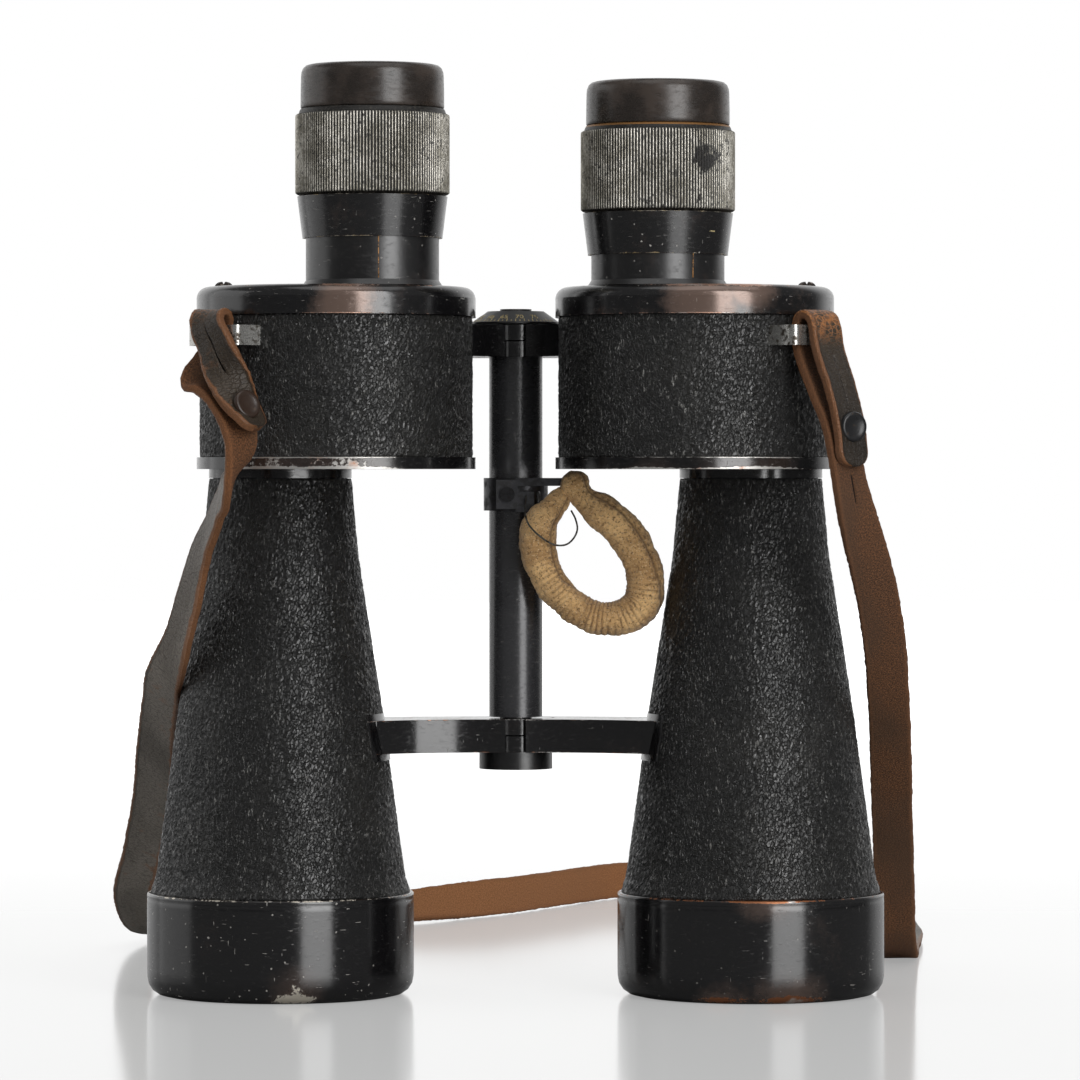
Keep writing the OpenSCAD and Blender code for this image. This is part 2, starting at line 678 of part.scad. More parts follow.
// The space that the pad takes on the tube's side towards the hinge
module pad_block(grow) {
    near = objective_x - leather_tube_r(lower_arm_z) - 2;
    translate([near, hinge_y - arm_front - 11.3 - grow, lower_arm_z - pad_rise - grow])
        cube([13, 30 + 2 * grow, lower_arm_h + 2 * (pad_rise + grow)]);
}

// A lug's own place: X points out from the housing, Y runs along the lug's bar
module at_lug() {
    lug_z = plate_z - 2.5 - lug_h;
    translate([housing_x, housing_y - housing_stretch / 2, lug_z]) rotate(-lug_angle)
        children();
}

// The lug's plan: a bar with a leg at each end, grown on every side by grow
module lug_plan(grow) {
    out = plate_d / 2 + lug_reach + lug_t / 2 + grow;
    in = inner_r - 2;
    half = lug_w / 2 + grow;
    corner = 1.6;
    difference() {
        union() {
            translate([in, -half]) square([out - corner - in, 2 * half]);
            translate([in, -half + corner]) square([out - in, 2 * (half - corner)]);
            for (side = [-1, 1])
                translate([out - corner, side * (half - corner)]) circle(r = corner, $fn = 32);
        }
        translate([in - 1, -half + lug_t + 2 * grow])
            square([out - lug_t - 2 * grow - in + 1, 2 * (half - lug_t - 2 * grow)]);
    }
}

module strap_lug() {
    color(WORN_METAL) difference() {
        at_lug() linear_extrude(lug_h) lug_plan(0);
        oval(body_r, body_z, body_h);
    }
}

// The fixed socket, in which the eyepiece slides, with a low flare where it meets the plate
module eyepiece_socket() {
    flare_h = 1.2;
    color(BLACK_LACQUER) at_eyepiece() difference() {
        union() {
            translate([0, 0, plate_top_z]) cylinder(r = socket_d / 2, h = socket_h);
            translate([0, 0, plate_top_z])
                cylinder(r1 = socket_d / 2 + 0.8, r2 = socket_d / 2, h = flare_h);
            translate([0, 0, plate_top_z - roof_t]) cylinder(r = socket_spigot_r, h = roof_t);
        }
        translate([0, 0, plate_top_z - roof_t - 1])
            cylinder(r = socket_bore_r, h = socket_h + roof_t + 2);
    }
}

// The sliding barrel that holds the lenses, with a neck on which the focus ring turns
module eyepiece_barrel() {
    shoulder_z = web_z - turning_gap;
    neck_top_z = eyecup_z - turning_gap;
    color(DARK_METAL) at_eyepiece() difference() {
        union() {
            translate([0, 0, barrel_low_z]) cylinder(r = barrel_r, h = shoulder_z - barrel_low_z);
            translate([0, 0, shoulder_z])
                cylinder(r = barrel_neck_r, h = neck_top_z - shoulder_z);
        }
        translate([0, 0, barrel_low_z - 1]) cylinder(r = barrel_bore_r, h = neck_top_z);
        translate([0, 0, barrel_low_z - 1]) cylinder(r = field_lens_r, h = lens_seat_h + 1);
        translate([0, 0, neck_top_z - lens_seat_h]) cylinder(r = eye_lens_r, h = lens_seat_h + 1);
    }
}

// A round glass with a cylindrical edge and one bulging face, which looks up
module bulging_lens(r, edge_h, ball_r) {
    sag = ball_r - sqrt(ball_r * ball_r - r * r);
    cylinder(r = r, h = edge_h);
    rotate_extrude() intersection() {
        translate([0, edge_h + sag - ball_r]) circle(r = ball_r, $fn = 180);
        translate([0, edge_h - eps]) square([r, sag + 1]);
    }
}

module field_lens() {
    color(GLASS) at_eyepiece() translate([0, 0, barrel_low_z + lens_seat_h - 4])
        bulging_lens(field_lens_r, 3.5, 60);
}

module eye_lens() {
    color(GLASS) at_eyepiece() translate([0, 0, eyecup_z - turning_gap - lens_seat_h])
        bulging_lens(eye_lens_r, 3.2, 40);
}

module dioptre_ring() {
    low_r = socket_d / 2 + dioptre_step;
    color(BLACK_LACQUER) at_eyepiece() translate([0, 0, dioptre_z]) difference() {
        cylinder(r1 = low_r, r2 = low_r + dioptre_flare, h = dioptre_h);
        translate([0, 0, -1]) cylinder(r = skirt_bore_r, h = dioptre_h + 2);
    }
}

// The round outline of the toothed band
module toothed_outline() {
    polygon([for (i = [0 : 2 * tooth_count - 1])
        let (r = focus_r - (i % 2) * tooth_depth, a = i * 180 / tooth_count)
        [r * cos(a), r * sin(a)]]);
}

// The toothed ring that is turned to focus: a cap over the socket with a smooth lip below
module focus_ring() {
    lip_h = 1;
    shoulder_h = 1.3;
    band_h = focus_h - lip_h - shoulder_h;
    smooth_r = focus_r - tooth_depth - tooth_step;
    color(DARK_METAL) at_eyepiece() difference() {
        union() {
            translate([0, 0, focus_z - groove_h]) cylinder(r = spigot_lip_r, h = groove_h);
            translate([0, 0, focus_z]) cylinder(r = smooth_r, h = lip_h);
            translate([0, 0, focus_z + lip_h]) linear_extrude(band_h) toothed_outline();
            translate([0, 0, focus_z + lip_h + band_h])
                cylinder(r1 = smooth_r, r2 = smooth_r - 0.7, h = shoulder_h);
        }
        translate([0, 0, focus_z - groove_h - 1])
            cylinder(r = skirt_bore_r, h = web_z - focus_z + groove_h + 1);
        translate([0, 0, focus_z]) cylinder(r = barrel_neck_r + barrel_play, h = focus_h + 1);
    }
}

module eyecup() {
    floor_h = 1.6;
    edge_r = 2.2;
    hole_r = eye_lens_r + 0.6;
    color(BROWN_CUP) at_eyepiece() translate([0, 0, eyecup_z]) difference() {
        rotate_extrude() rounded_profile(eyecup_r, eyecup_h, edge_r);
        translate([0, 0, -1]) cylinder(r = hole_r, h = floor_h + 1 + eps);
        translate([0, 0, floor_h])
            cylinder(r1 = hole_r, r2 = eyecup_r - eyecup_rim, h = eyecup_h - floor_h + eps);
    }
}

dial_z = upper_arm_z + upper_arm_h + turning_gap;
column_z = lower_arm_z + lower_arm_h + turning_gap;
spindle_z = lower_arm_z - nut_h + 0.4;

// The hinge pin, with a screwdriver slot in its upper end
module hinge_spindle() {
    end_z = dial_z + dial_h + 0.5;
    color(WORN_METAL) at_hinge() difference() {
        translate([0, 0, spindle_z]) cylinder(r = spindle_d / 2, h = end_z - spindle_z);
        translate([-spindle_d, -0.5, end_z - 0.8]) cube([2 * spindle_d, 1, 2]);
    }
}

module hinge_column() {
    color(BLACK_LACQUER) at_hinge()
        ring(column_d / 2, spindle_d / 2, column_z, upper_arm_z - column_z);
}

// The cone that carries the scale of the eye distance
module distance_dial() {
    color(BLACK_LACQUER) at_hinge() translate([0, 0, dial_z]) difference() {
        union() {
            cylinder(r = dial_d / 2, h = 0.4);
            translate([0, 0, 0.4]) cylinder(r1 = dial_d / 2, r2 = dial_top_d / 2, h = dial_h - 0.4);
        }
        translate([0, 0, -1]) cylinder(r = spindle_d / 2, h = dial_h + 2);
    }
}

// The round nut under the hinge, with two holes for a pin spanner
module hinge_nut() {
    color(DARK_METAL) at_hinge() translate([0, 0, lower_arm_z - nut_h]) difference() {
        cylinder(r = nut_d / 2, h = nut_h);
        translate([0, 0, -1]) cylinder(r = spindle_d / 2, h = nut_h + 2);
        for (side = [-1, 1]) translate([side * (spindle_d + nut_d) / 4, 0, -1])
            cylinder(r = 0.8, h = 3);
    }
}

// A split ring clamped on the column, with a flat-faced block, an ear and an arm for the loop
module clamp_collar() {
    block_w = 4.8;
    arm_z = clamp_z + clamp_h - 1.8;
    color(DARK_METAL) at_hinge() {
        difference() {
            union() {
                translate([0, 0, clamp_z]) cylinder(r = column_d / 2 + clamp_wall, h = clamp_h);
                translate([-4.4, -10.4, clamp_z + 0.4]) cube([block_w, 6, clamp_h - 0.8]);
                translate([0, -9.6, arm_z]) cube([10.6, 2, 1.8]);
            }
            translate([0, 0, clamp_z - 1]) cylinder(r = column_d / 2, h = clamp_h + 2);
        }
        translate([0, -9.6, clamp_z - 0.3]) cube([4.2, 1.4, 4.6]);
        translate([2.6, -9.6, clamp_z + 2.1]) rotate([90, 0, 0]) cylinder(r = 0.7, h = 0.5);
    }
}

module clamp_screw() {
    color(WORN_METAL) at_hinge() translate([-1.9, -10.4, clamp_z + clamp_h / 2])
        rotate([90, 0, 0]) difference() {
            cylinder(r = clamp_screw_d / 2, h = 0.8);
            translate([-3, -0.25, 0.4]) cube([6, 0.5, 1]);
        }
}

// The small steel ring at the neck of the loop
module loop_hook() {
    color(DARK_METAL) translate([5.1, hinge_y - 9, clamp_z + 2.3]) rotate([0, 90, 0])
        rotate_extrude() translate([1.7, 0]) circle(r = 0.45, $fn = 24);
}

function unit(v) = v / norm(v);

// The corners of one ring of a swept solid: its section is laid across the path at point i
function ring_points(path, width_dir, section, i) =
    let (last = len(path) - 1,
         t = unit(path[min(i + 1, last)] - path[max(i - 1, 0)]),
         w = unit(width_dir - (width_dir * t) * t),
         n = cross(t, w))
    [for (q = section) path[i] + q[0] * w + q[1] * n];

// A solid from rings of k points each, closed by a fan of triangles at both ends
module swept(rings, k) {
    m = len(rings);
    sides = [for (i = [0 : m - 2], j = [0 : k - 1]) let (a = i * k + j, b = i * k + (j + 1) % k)
        each [[a, a + k, b], [b, a + k, b + k]]];
    first = [for (j = [1 : k - 2]) [0, j, j + 1]];
    last = [for (j = [1 : k - 2]) [(m - 1) * k, (m - 1) * k + j + 1, (m - 1) * k + j]];
    polyhedron(points = [for (r = rings) each r], faces = concat(sides, first, last));
}

function circle_section(r, k) = [for (j = [0 : k - 1]) [r * cos(j * 360 / k), r * sin(j * 360 / k)]];

// The strap is flat with slightly eased corners
strap_section = let (a = strap_w / 2, b = strap_t / 2, c = STRAP_CORNER) [
    [a, -b + c], [a, b - c], [a - c, b], [c - a, b],
    [-a, b - c], [-a, c - b], [c - a, -b], [a - c, -b]];

// A stretch of the strap, from one point of its route to another
module strap_stretch(from, to) {
    path = [for (p = STRAP) [p[0], p[1], p[2]]];
    color(BROWN_LEATHER) swept([for (i = [from : to])
        ring_points(path, [STRAP[i][3], STRAP[i][4], STRAP[i][5]], strap_section, i)], 8);
}

module strap_right() { strap_stretch(0, STRAP_ENDS_RIGHT); }

module strap_middle() { strap_stretch(STRAP_ENDS_RIGHT, STRAP_ENDS_MIDDLE); }

module strap_left() { strap_stretch(STRAP_ENDS_MIDDLE, len(STRAP) - 1); }

// A stud through both layers of a strap's end: a domed head, a stem and a flat base
module stud(place, turn) {
    stem_l = 5;
    color(DARK_METAL) translate(place) rotate(turn) {
        translate([0, 0, strap_t / 2 + 0.1]) cylinder(r = stud_d / 2, h = 0.8);
        translate([0, 0, strap_t / 2 + 0.9]) cylinder(r1 = stud_d / 2, r2 = stud_d / 4, h = 0.8);
        translate([0, 0, strap_t / 2 + 0.2 - stem_l]) cylinder(r = 1, h = stem_l);
    }
}

module strap_stud_right() { stud([72.9, -36.6, 127.7], [90, 0, 47]); }

module strap_stud_left() { stud([-59.3, -38.1, 132], [70, 0, 40]); }

module carrying_loop() {
    path = [for (p = LOOP) [p[0], p[1], p[2]]];
    color(TAN_CLOTH) swept([for (i = [0 : len(LOOP) - 1])
        ring_points(path, [0, 1, 0], circle_section(LOOP[i][3], LOOP_SIDES), i)], LOOP_SIDES);
}

module loop_wire() {
    color(WORN_METAL) swept([for (i = [0 : len(WIRE) - 1])
        ring_points(WIRE, [0.2, 1, 0.1], circle_section(WIRE_R, WIRE_SIDES), i)], WIRE_SIDES);
}

// Whether a node is wanted
function wanted(name) = node == "all" || node == name;

for (s = SIDES) on_side(s) {
    if (wanted(str("prism_housing_", s))) prism_housing(s);
    if (wanted(str("housing_leather_", s))) housing_leather();
    if (wanted(str("ocular_plate_", s))) ocular_plate();
    if (wanted(str("plate_screws_", s))) plate_screws();
    if (wanted(str("objective_tube_", s))) objective_tube();
    if (wanted(str("tube_leather_", s))) tube_leather();
    if (wanted(str("objective_ring_", s))) objective_ring();
    if (wanted(str("lens_cell_", s))) lens_cell();
    if (wanted(str("objective_lens_", s))) objective_lens();
    if (wanted(str("lens_retainer_", s))) lens_retainer();
    if (wanted(str("prism_shelf_", s))) prism_shelf();
    if (wanted(str("lower_prism_", s))) lower_prism();
    if (wanted(str("upper_prism_", s))) upper_prism();
    if (wanted(str("prism_clips_", s))) prism_clips();
    if (wanted(str("lower_arm_", s))) lower_arm(s);
    if (wanted(str("strap_lug_", s))) strap_lug();
    if (wanted(str("eyepiece_socket_", s))) eyepiece_socket();
    if (wanted(str("eyepiece_barrel_", s))) focused(s) eyepiece_barrel();
    if (wanted(str("field_lens_", s))) focused(s) field_lens();
    if (wanted(str("eye_lens_", s))) focused(s) eye_lens();
    if (wanted(str("dioptre_ring_", s))) focused(s) dioptre_ring();
    if (wanted(str("focus_ring_", s))) focused(s) focus_ring();
    if (wanted(str("eyecup_", s))) focused(s) eyecup();
}
if (wanted("hinge_spindle")) hinge_spindle();
if (wanted("hinge_column")) hinge_column();
if (wanted("distance_dial")) distance_dial();
if (wanted("hinge_nut")) hinge_nut();
if (wanted("clamp_collar")) clamp_collar();
if (wanted("clamp_screw")) clamp_screw();
if (wanted("loop_hook")) loop_hook();
if (wanted("loop_wire")) loop_wire();
if (wanted("carrying_loop")) carrying_loop();
if (wanted("strap_right")) strap_right();
if (wanted("strap_middle")) strap_middle();
if (wanted("strap_left")) strap_left();
if (wanted("strap_stud_right")) strap_stud_right();
if (wanted("strap_stud_left")) strap_stud_left();
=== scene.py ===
import math

import bpy
import numpy as np
from mathutils import Euler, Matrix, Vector


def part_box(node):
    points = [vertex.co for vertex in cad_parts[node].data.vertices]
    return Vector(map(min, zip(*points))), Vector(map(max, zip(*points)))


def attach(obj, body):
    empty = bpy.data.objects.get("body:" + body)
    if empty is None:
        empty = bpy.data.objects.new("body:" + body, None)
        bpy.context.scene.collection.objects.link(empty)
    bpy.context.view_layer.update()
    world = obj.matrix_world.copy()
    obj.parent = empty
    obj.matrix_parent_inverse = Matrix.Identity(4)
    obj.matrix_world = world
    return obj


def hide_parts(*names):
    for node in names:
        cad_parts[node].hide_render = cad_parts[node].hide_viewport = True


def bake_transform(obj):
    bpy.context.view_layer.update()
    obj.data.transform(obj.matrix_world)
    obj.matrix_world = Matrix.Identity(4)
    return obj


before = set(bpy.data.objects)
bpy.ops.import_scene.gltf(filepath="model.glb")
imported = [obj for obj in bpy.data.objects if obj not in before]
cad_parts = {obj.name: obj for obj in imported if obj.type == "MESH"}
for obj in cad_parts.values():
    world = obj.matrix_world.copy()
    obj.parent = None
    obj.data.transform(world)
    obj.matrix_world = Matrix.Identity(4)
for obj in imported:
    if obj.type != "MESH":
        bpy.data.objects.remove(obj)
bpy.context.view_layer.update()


# The camera. It stands well in front of the binoculars, a little above their middle, and looks
# very slightly down through a long lens, as for a catalogue picture.
camera_place = Vector((0.0055, -1.293, 0.1172))
camera_target = Vector((0.0055, 0.007, 0.1025))
field_width = 0.2438
sensor_width = 36.0
link = bpy.context.scene.collection.objects.link

lens = bpy.data.cameras.new("camera")
lens.sensor_width = sensor_width
lens.lens = sensor_width * (camera_target - camera_place).length / field_width
camera = bpy.data.objects.new("camera", lens)
camera.location = camera_place
camera.rotation_euler = (camera_target - camera_place).to_track_quat("-Z", "Y").to_euler()
link(camera)
bpy.context.scene.camera = camera


# The neck strap. One band of thick bridle leather, 9.5 mm wide, dyed dark on its grain side and
# left as orange-brown suede on its flesh side. Each end goes over a lug and is held by a stud.
strap_w, strap_t, strap_corner = 0.0095, 0.002, 0.0006
# The middle of the band from the end of the right tab to the end of the left one, in
# millimetres, and the direction in which its width lies
strap_route = np.array([
    [73.7, -37.4, 119, 0.68, 0.73, 0], [72.9, -36.6, 127.7, 0.68, 0.73, 0],
    [70.8, -34.7, 137, 0.68, 0.73, 0], [68.3, -32.4, 146, 0.68, 0.73, 0],
    [67.8, -31.8, 149.8, 0.68, 0.73, 0], [67.2, -31.3, 151.6, 0.68, 0.73, 0],
    [66, -30.2, 152.4, 0.68, 0.73, 0], [64.8, -29.1, 151.6, 0.68, 0.73, 0],
    [64.3, -28.6, 149.6, 0.68, 0.73, 0], [64.6, -28.9, 145, 0.68, 0.73, 0],
    [67.5, -31.5, 136, 0.68, 0.73, 0], [70.9, -34.7, 127, 0.7, 0.71, 0],
    [72.4, -36, 119, 0.72, 0.69, 0], [74, -35.2, 111, 0.78, 0.62, 0],
    [77.2, -29, 100.5, 0.87, 0.48, 0], [80.3, -18.5, 89.5, 0.93, 0.35, 0],
    [82.7, -6, 78, 0.97, 0.24, 0], [84.3, 8, 66, 1, 0.1, 0],
    [85.6, 22.5, 54, 1, 0, 0], [86.8, 37, 42, 1, 0, 0],
    [88, 51.5, 30, 1, 0, 0], [89.2, 65.5, 17.5, 1, 0, 0],
    [90.3, 78, 7, 1, 0, 0], [91.6, 92, 2.2, 1, 0, 0],
    [93.5, 115, 1.8, 1, 0, -0.08], [96, 140, 2.8, 0.96, 0, -0.3],
    [98.5, 168, 4.3, 0.7, 0, -0.7], [100, 198, 5, 0.3, 0, -1],
    [99, 232, 5, 0, 0, -1], [93, 266, 5, 0, 0, -1],
    [80, 296, 5, 0, 0, -1], [60, 314, 5, 0, 0, -1],
    [41, 314, 5, 0, 0, -1], [27, 300, 5, 0, 0, -1],
    [11, 270, 5, 0, 0, -1], [-7, 237, 5, 0.1, -0.1, -1],
    [-27, 215, 4.4, 0.45, -0.5, -0.75], [-49, 199, 2.7, 0.55, -0.8, -0.25],
    [-72, 180, 1.5, 0.65, -0.8, 0], [-86, 162, 1.8, 0.75, -0.65, 0],
    [-93, 145, 4, 0.82, -0.57, 0], [-94.9, 126, 12.5, 0.88, -0.47, 0],
    [-90.7, 100, 26, 0.85, -0.52, 0], [-86.8, 75, 39.8, 0.78, -0.62, 0],
    [-83.9, 47, 53.2, 0.68, -0.73, 0], [-80.8, 19, 66, 0.62, -0.78, -0.1],
    [-78.9, 4, 72, 0.58, -0.81, -0.1], [-76, -6, 78.1, 0.55, -0.83, -0.1],
    [-72.6, -12.5, 89.4, 0.5, -0.86, -0.1], [-69.5, -17, 100, 0.38, -0.92, -0.1],
    [-67, -21.5, 105.5, 0.25, -0.96, -0.1], [-64.6, -27.5, 110.8, 0.2, -0.98, 0],
    [-62.1, -35, 116.1, 0.1, -0.99, 0], [-60.3, -36.8, 120.7, -0.4, -0.9, 0],
    [-59.8, -36.8, 125, -0.65, -0.75, 0], [-60.8, -36.1, 129, -0.75, -0.65, 0],
    [-62.6, -34.5, 132.3, -0.85, -0.5, 0.1], [-66, -31, 135.4, -0.9, -0.2, 0.3],
    [-68.8, -28, 138.6, -0.85, 0.4, 0.3], [-67.4, -26.8, 141.5, -0.72, 0.66, 0.1],
    [-65.4, -27.1, 145.2, -0.68, 0.73, 0], [-65.5, -27.4, 149.6, -0.68, 0.73, 0],
    [-65.7, -28.1, 151.6, -0.68, 0.73, 0], [-66.5, -29.7, 152.4, -0.68, 0.73, 0],
    [-67.2, -31.4, 151.6, -0.68, 0.73, 0], [-67.2, -32.5, 149.8, -0.68, 0.73, 0],
    [-65.6, -34.4, 146, -0.75, 0.65, 0], [-63.7, -35.9, 141, -0.93, 0.35, 0],
    [-61.8, -37, 137, -0.95, -0.25, 0], [-59.9, -37.8, 133, -0.8, -0.6, 0],
    [-57.6, -38.9, 129.6, -0.65, -0.75, 0.1], [-55.9, -39.7, 127.3, -0.62, -0.78, 0.1]])


def unit(v):
    """Each vector divided by its own length"""
    return v / np.linalg.norm(v, axis=-1, keepdims=True)


def curve_through(knots, step):
    """Rows about `step` apart on the smooth cubic through the rows of `knots`, and their
    lengths along it. Between two knots a and b, with slopes p and q that are half the chord
    over both neighbours, a point is (2t^3 - 3t^2 + 1)a + (t^3 - 2t^2 + t)p + (3t^2 - 2t^3)b
    + (t^3 - t^2)q. The places along it are then evened out."""
    k = np.vstack([2 * knots[0] - knots[1], knots, 2 * knots[-1] - knots[-2]])[:, None, :]
    a, b = k[1:-2], k[2:-1]
    gap = np.linalg.norm((k[1:] - k[:-1])[..., :3], axis=-1, keepdims=True)
    slope = (k[1:] - k[:-1]) / gap
    tangent = (slope[:-1] * gap[1:] + slope[1:] * gap[:-1]) / (gap[:-1] + gap[1:])
    p, q = tangent[:-1] * gap[1:-1], tangent[1:] * gap[1:-1]
    t = np.linspace(0, 1, 24, endpoint=False)[None, :, None]
    rows = ((2 * t**3 - 3 * t**2 + 1) * a + (t**3 - 2 * t**2 + t) * p
            + (3 * t**2 - 2 * t**3) * b + (t**3 - t**2) * q).reshape(-1, knots.shape[1])
    rows = np.vstack([rows, knots[-1]])
    far = np.concatenate([[0], np.cumsum(np.linalg.norm(np.diff(rows[:, :3], axis=0), axis=1))])
    along = np.linspace(0, far[-1], int(far[-1] / step) + 1)
    return np.stack([np.interp(along, far, c) for c in rows.T], axis=1), along


def square_to(path, side):
    """At each point of a path, the direction square to it that is nearest to `side`, and the
    one that is square to both"""
    ahead = unit(np.gradient(path, axis=0))
    across = unit(side - (side * ahead).sum(axis=1, keepdims=True) * ahead)
    return across, np.cross(ahead, across)


def rounded(corners, radius, steps):
    """A closed outline through `corners`, each rounded off by the parabola that leaves one side
    a radius before the corner and joins the next a radius after it: (1 - t)^2 of the one place,
    2t(1 - t) of the corner and t^2 of the other"""
    c = np.array(corners)
    before, after = (c + unit(np.roll(c, way, axis=0) - c) * radius for way in (1, -1))
    t = np.linspace(0, 1, steps)[None, :, None]
    return (before[:, None] * (1 - t)**2 + c[:, None] * 2 * t * (1 - t)
            + after[:, None] * t**2).reshape(-1, 2)


def surface(name, points, looped=False, attributes=None, uv=None):
    """A mesh over a grid of points [rows, columns, xyz], or over several such grids at once.
    Each row is a ring. The last row joins the first if `looped`, and else a cap fills each of
    them. The faces are turned outwards by the sign of the volume that they enclose."""
    rows, columns = points.shape[-3:-1]
    i, j = np.arange(rows if looped else rows - 1)[:, None], np.arange(columns)[None, :]
    below, right = (i + 1) % rows, (j + 1) % columns
    quads = np.stack([i * columns + j, i * columns + right, below * columns + right,
                      below * columns + j], axis=-1).reshape(-1, 4)
    flat = points.reshape(-1, 3)
    grids = len(flat) // (rows * columns)
    a, b, c, d = (flat[quads[:, n]] for n in range(4))
    from_centre = a + b + c + d - 4 * flat[:rows * columns].mean(axis=0)
    turned_in = (np.cross(c - a, d - b) * from_centre).sum() < 0
    starts = np.arange(grids)[:, None, None] * rows * columns
    quads = quads[:, ::-1] if turned_in else quads
    faces = (quads[None] + starts).reshape(-1, 4).tolist()
    if not looped:
        rims = np.stack([np.arange(columns)[::-1], np.arange((rows - 1) * columns, rows * columns)])
        rims = rims[:, ::-1] if turned_in else rims
        faces += (rims[None] + starts).reshape(-1, columns).tolist()
    mesh = bpy.data.meshes.new(name)
    mesh.from_pydata(flat.tolist(), [], faces)
    mesh.shade_smooth()
    for key, values in (attributes or {}).items():
        values = np.broadcast_to(values, points.shape[:2]).ravel().astype(np.float32)
        mesh.attributes.new(key, "FLOAT", "POINT").data.foreach_set("value", values)
    if uv is not None:
        corners = np.empty(len(mesh.loops), np.int32)
        mesh.loops.foreach_get("vertex_index", corners)
        layer = mesh.uv_layers.new(name="along_and_across")
        layer.data.foreach_set("uv", uv.reshape(-1, 2)[corners].ravel().astype(np.float32))
    piece = bpy.data.objects.new(name, mesh)
    link(piece)
    return piece


class Shade:
    """An output of a node. A sum written with it adds the Math nodes that work it out."""

    def __init__(self, finish, socket):
        self.finish, self.socket = finish, socket

    def maths(self, operation, *values):
        return self.finish.make("Math", {"operation": operation}, dict(enumerate(values)))

    def __add__(self, other): return self.maths("ADD", self, other)
    def __sub__(self, other): return self.maths("SUBTRACT", self, other)
    def __rsub__(self, other): return self.maths("SUBTRACT", other, self)
    def __mul__(self, other): return self.maths("MULTIPLY", self, other)
    def __truediv__(self, other): return self.maths("DIVIDE", self, other)
    def __abs__(self): return self.maths("ABSOLUTE", self)
    __radd__, __rmul__ = __add__, __mul__

    def most(self, other): return self.maths("MAXIMUM", self, other)
    def least(self, other): return self.maths("MINIMUM", self, other)


class Finish:
    """A material on one Principled shader, whose other nodes make() adds"""

    def __init__(self, name, **shader):
        self.material = bpy.data.materials.new(name)
        self.material.use_nodes = True
        self.tree = self.material.node_tree
        self.shader = self.tree.nodes["Principled BSDF"]
        self.set(**shader)

    def set(self, **values):
        for key, value in values.items():
            self.feed(self.shader.inputs[key.replace("_", " ")], value)

    def feed(self, socket, value):
        if isinstance(value, Shade):
            self.tree.links.new(value.socket, socket)
        elif isinstance(value, tuple) and len(value) == 3 and socket.type == "RGBA":
            socket.default_value = (*value, 1)
        else:
            socket.default_value = value

    def make(self, kind, settings=None, values=None, out=0):
        node = self.tree.nodes.new("ShaderNode" + kind)
        for key, value in (settings or {}).items():
            setattr(node, key, value)
        for key, value in (values or {}).items():
            self.feed(node.inputs[key], value)
        return Shade(self, node.outputs[out])

    def place(self):
        return self.make("TexCoord", out="Object")

    def reading(self, name):
        return self.make("Attribute", {"attribute_name": name}, out="Fac")

    def ray(self, kind):
        return self.make("LightPath", out=f"Is {kind} Ray")

    def away(self, place, spot):
        """The distance between the two"""
        return self.make("VectorMath", {"operation": "DISTANCE"}, {0: place, 1: spot}, "Value")

    def split(self, vector):
        node = self.make("SeparateXYZ", values={"Vector": vector}).socket.node
        return [Shade(self, out) for out in node.outputs]

    def stretched(self, vector, scale, turn=(0, 0, 0)):
        return self.make("Mapping", values={"Vector": vector, "Rotation": turn, "Scale": scale})

    def noise(self, vector, scale, detail=2.0, roughness=0.5, distortion=0.0):
        return self.make("TexNoise", None, {
            "Vector": vector, "Scale": scale, "Detail": detail, "Roughness": roughness,
            "Distortion": distortion})

    def cells(self, vector, scale, feature="F1"):
        return self.make("TexVoronoi", {"feature": feature}, {"Vector": vector, "Scale": scale},
                         "Distance")

    def rise(self, value, low, high):
        """0 below low, 1 above high and a smooth step between; falls if low is above high"""
        return self.make("MapRange", {"interpolation_type": "SMOOTHSTEP"},
                         {"Value": value, "From Min": low, "From Max": high})

    def mix(self, mask, a, b):
        return self.make("Mix", {"data_type": "RGBA"}, {0: mask, 6: a, 7: b}, 2)

    def over(self, colour, *layers):
        """A colour with others laid over it in turn, each as far as its own mask says"""
        for mask, upper in layers:
            colour = self.mix(mask, colour, upper)
        return colour

    def bump(self, height, distance, strength):
        return self.make("Bump", None, {
            "Height": height, "Distance": distance, "Strength": strength})


route, strap_along = curve_through(strap_route * [1e-3, 1e-3, 1e-3, 1, 1, 1], 0.0007)
middle = route[:, :3]
strap_length = strap_along[-1]
across, flesh_way = square_to(middle, route[:, 3:])

half_w, half_t = strap_w / 2, strap_t / 2
face = np.array([-3.6, -2.8, -2, -1.3, -0.7, -0.3, -0.1, 0, 0.1, 0.3, 0.7, 1.3, 2, 2.8, 3.6]) * 1e-3
edge = rounded([(half_w, -half_t), (half_w, half_t), (-half_w, half_t), (-half_w, -half_t)],
               strap_corner, 5)
# From the grain face round the right edge, over the flesh face and back round the left edge
section = np.vstack([np.stack([face, np.full_like(face, -half_t)], axis=1), edge[:10],
                     np.stack([face[::-1], np.full_like(face, half_t)], axis=1), edge[10:]])
from_right, from_left = strap_along, strap_length - strap_along
tip, tip_power = 0.0042, 2.6
into_tip = np.clip(np.minimum(from_right, from_left) / tip, 0.02, 1)
narrowing = (1 - (1 - into_tip)**tip_power)**(1 / tip_power)
sideways = section[None, :, 0] * narrowing[:, None]
thick = np.broadcast_to(section[None, :, 1], sideways.shape).copy()
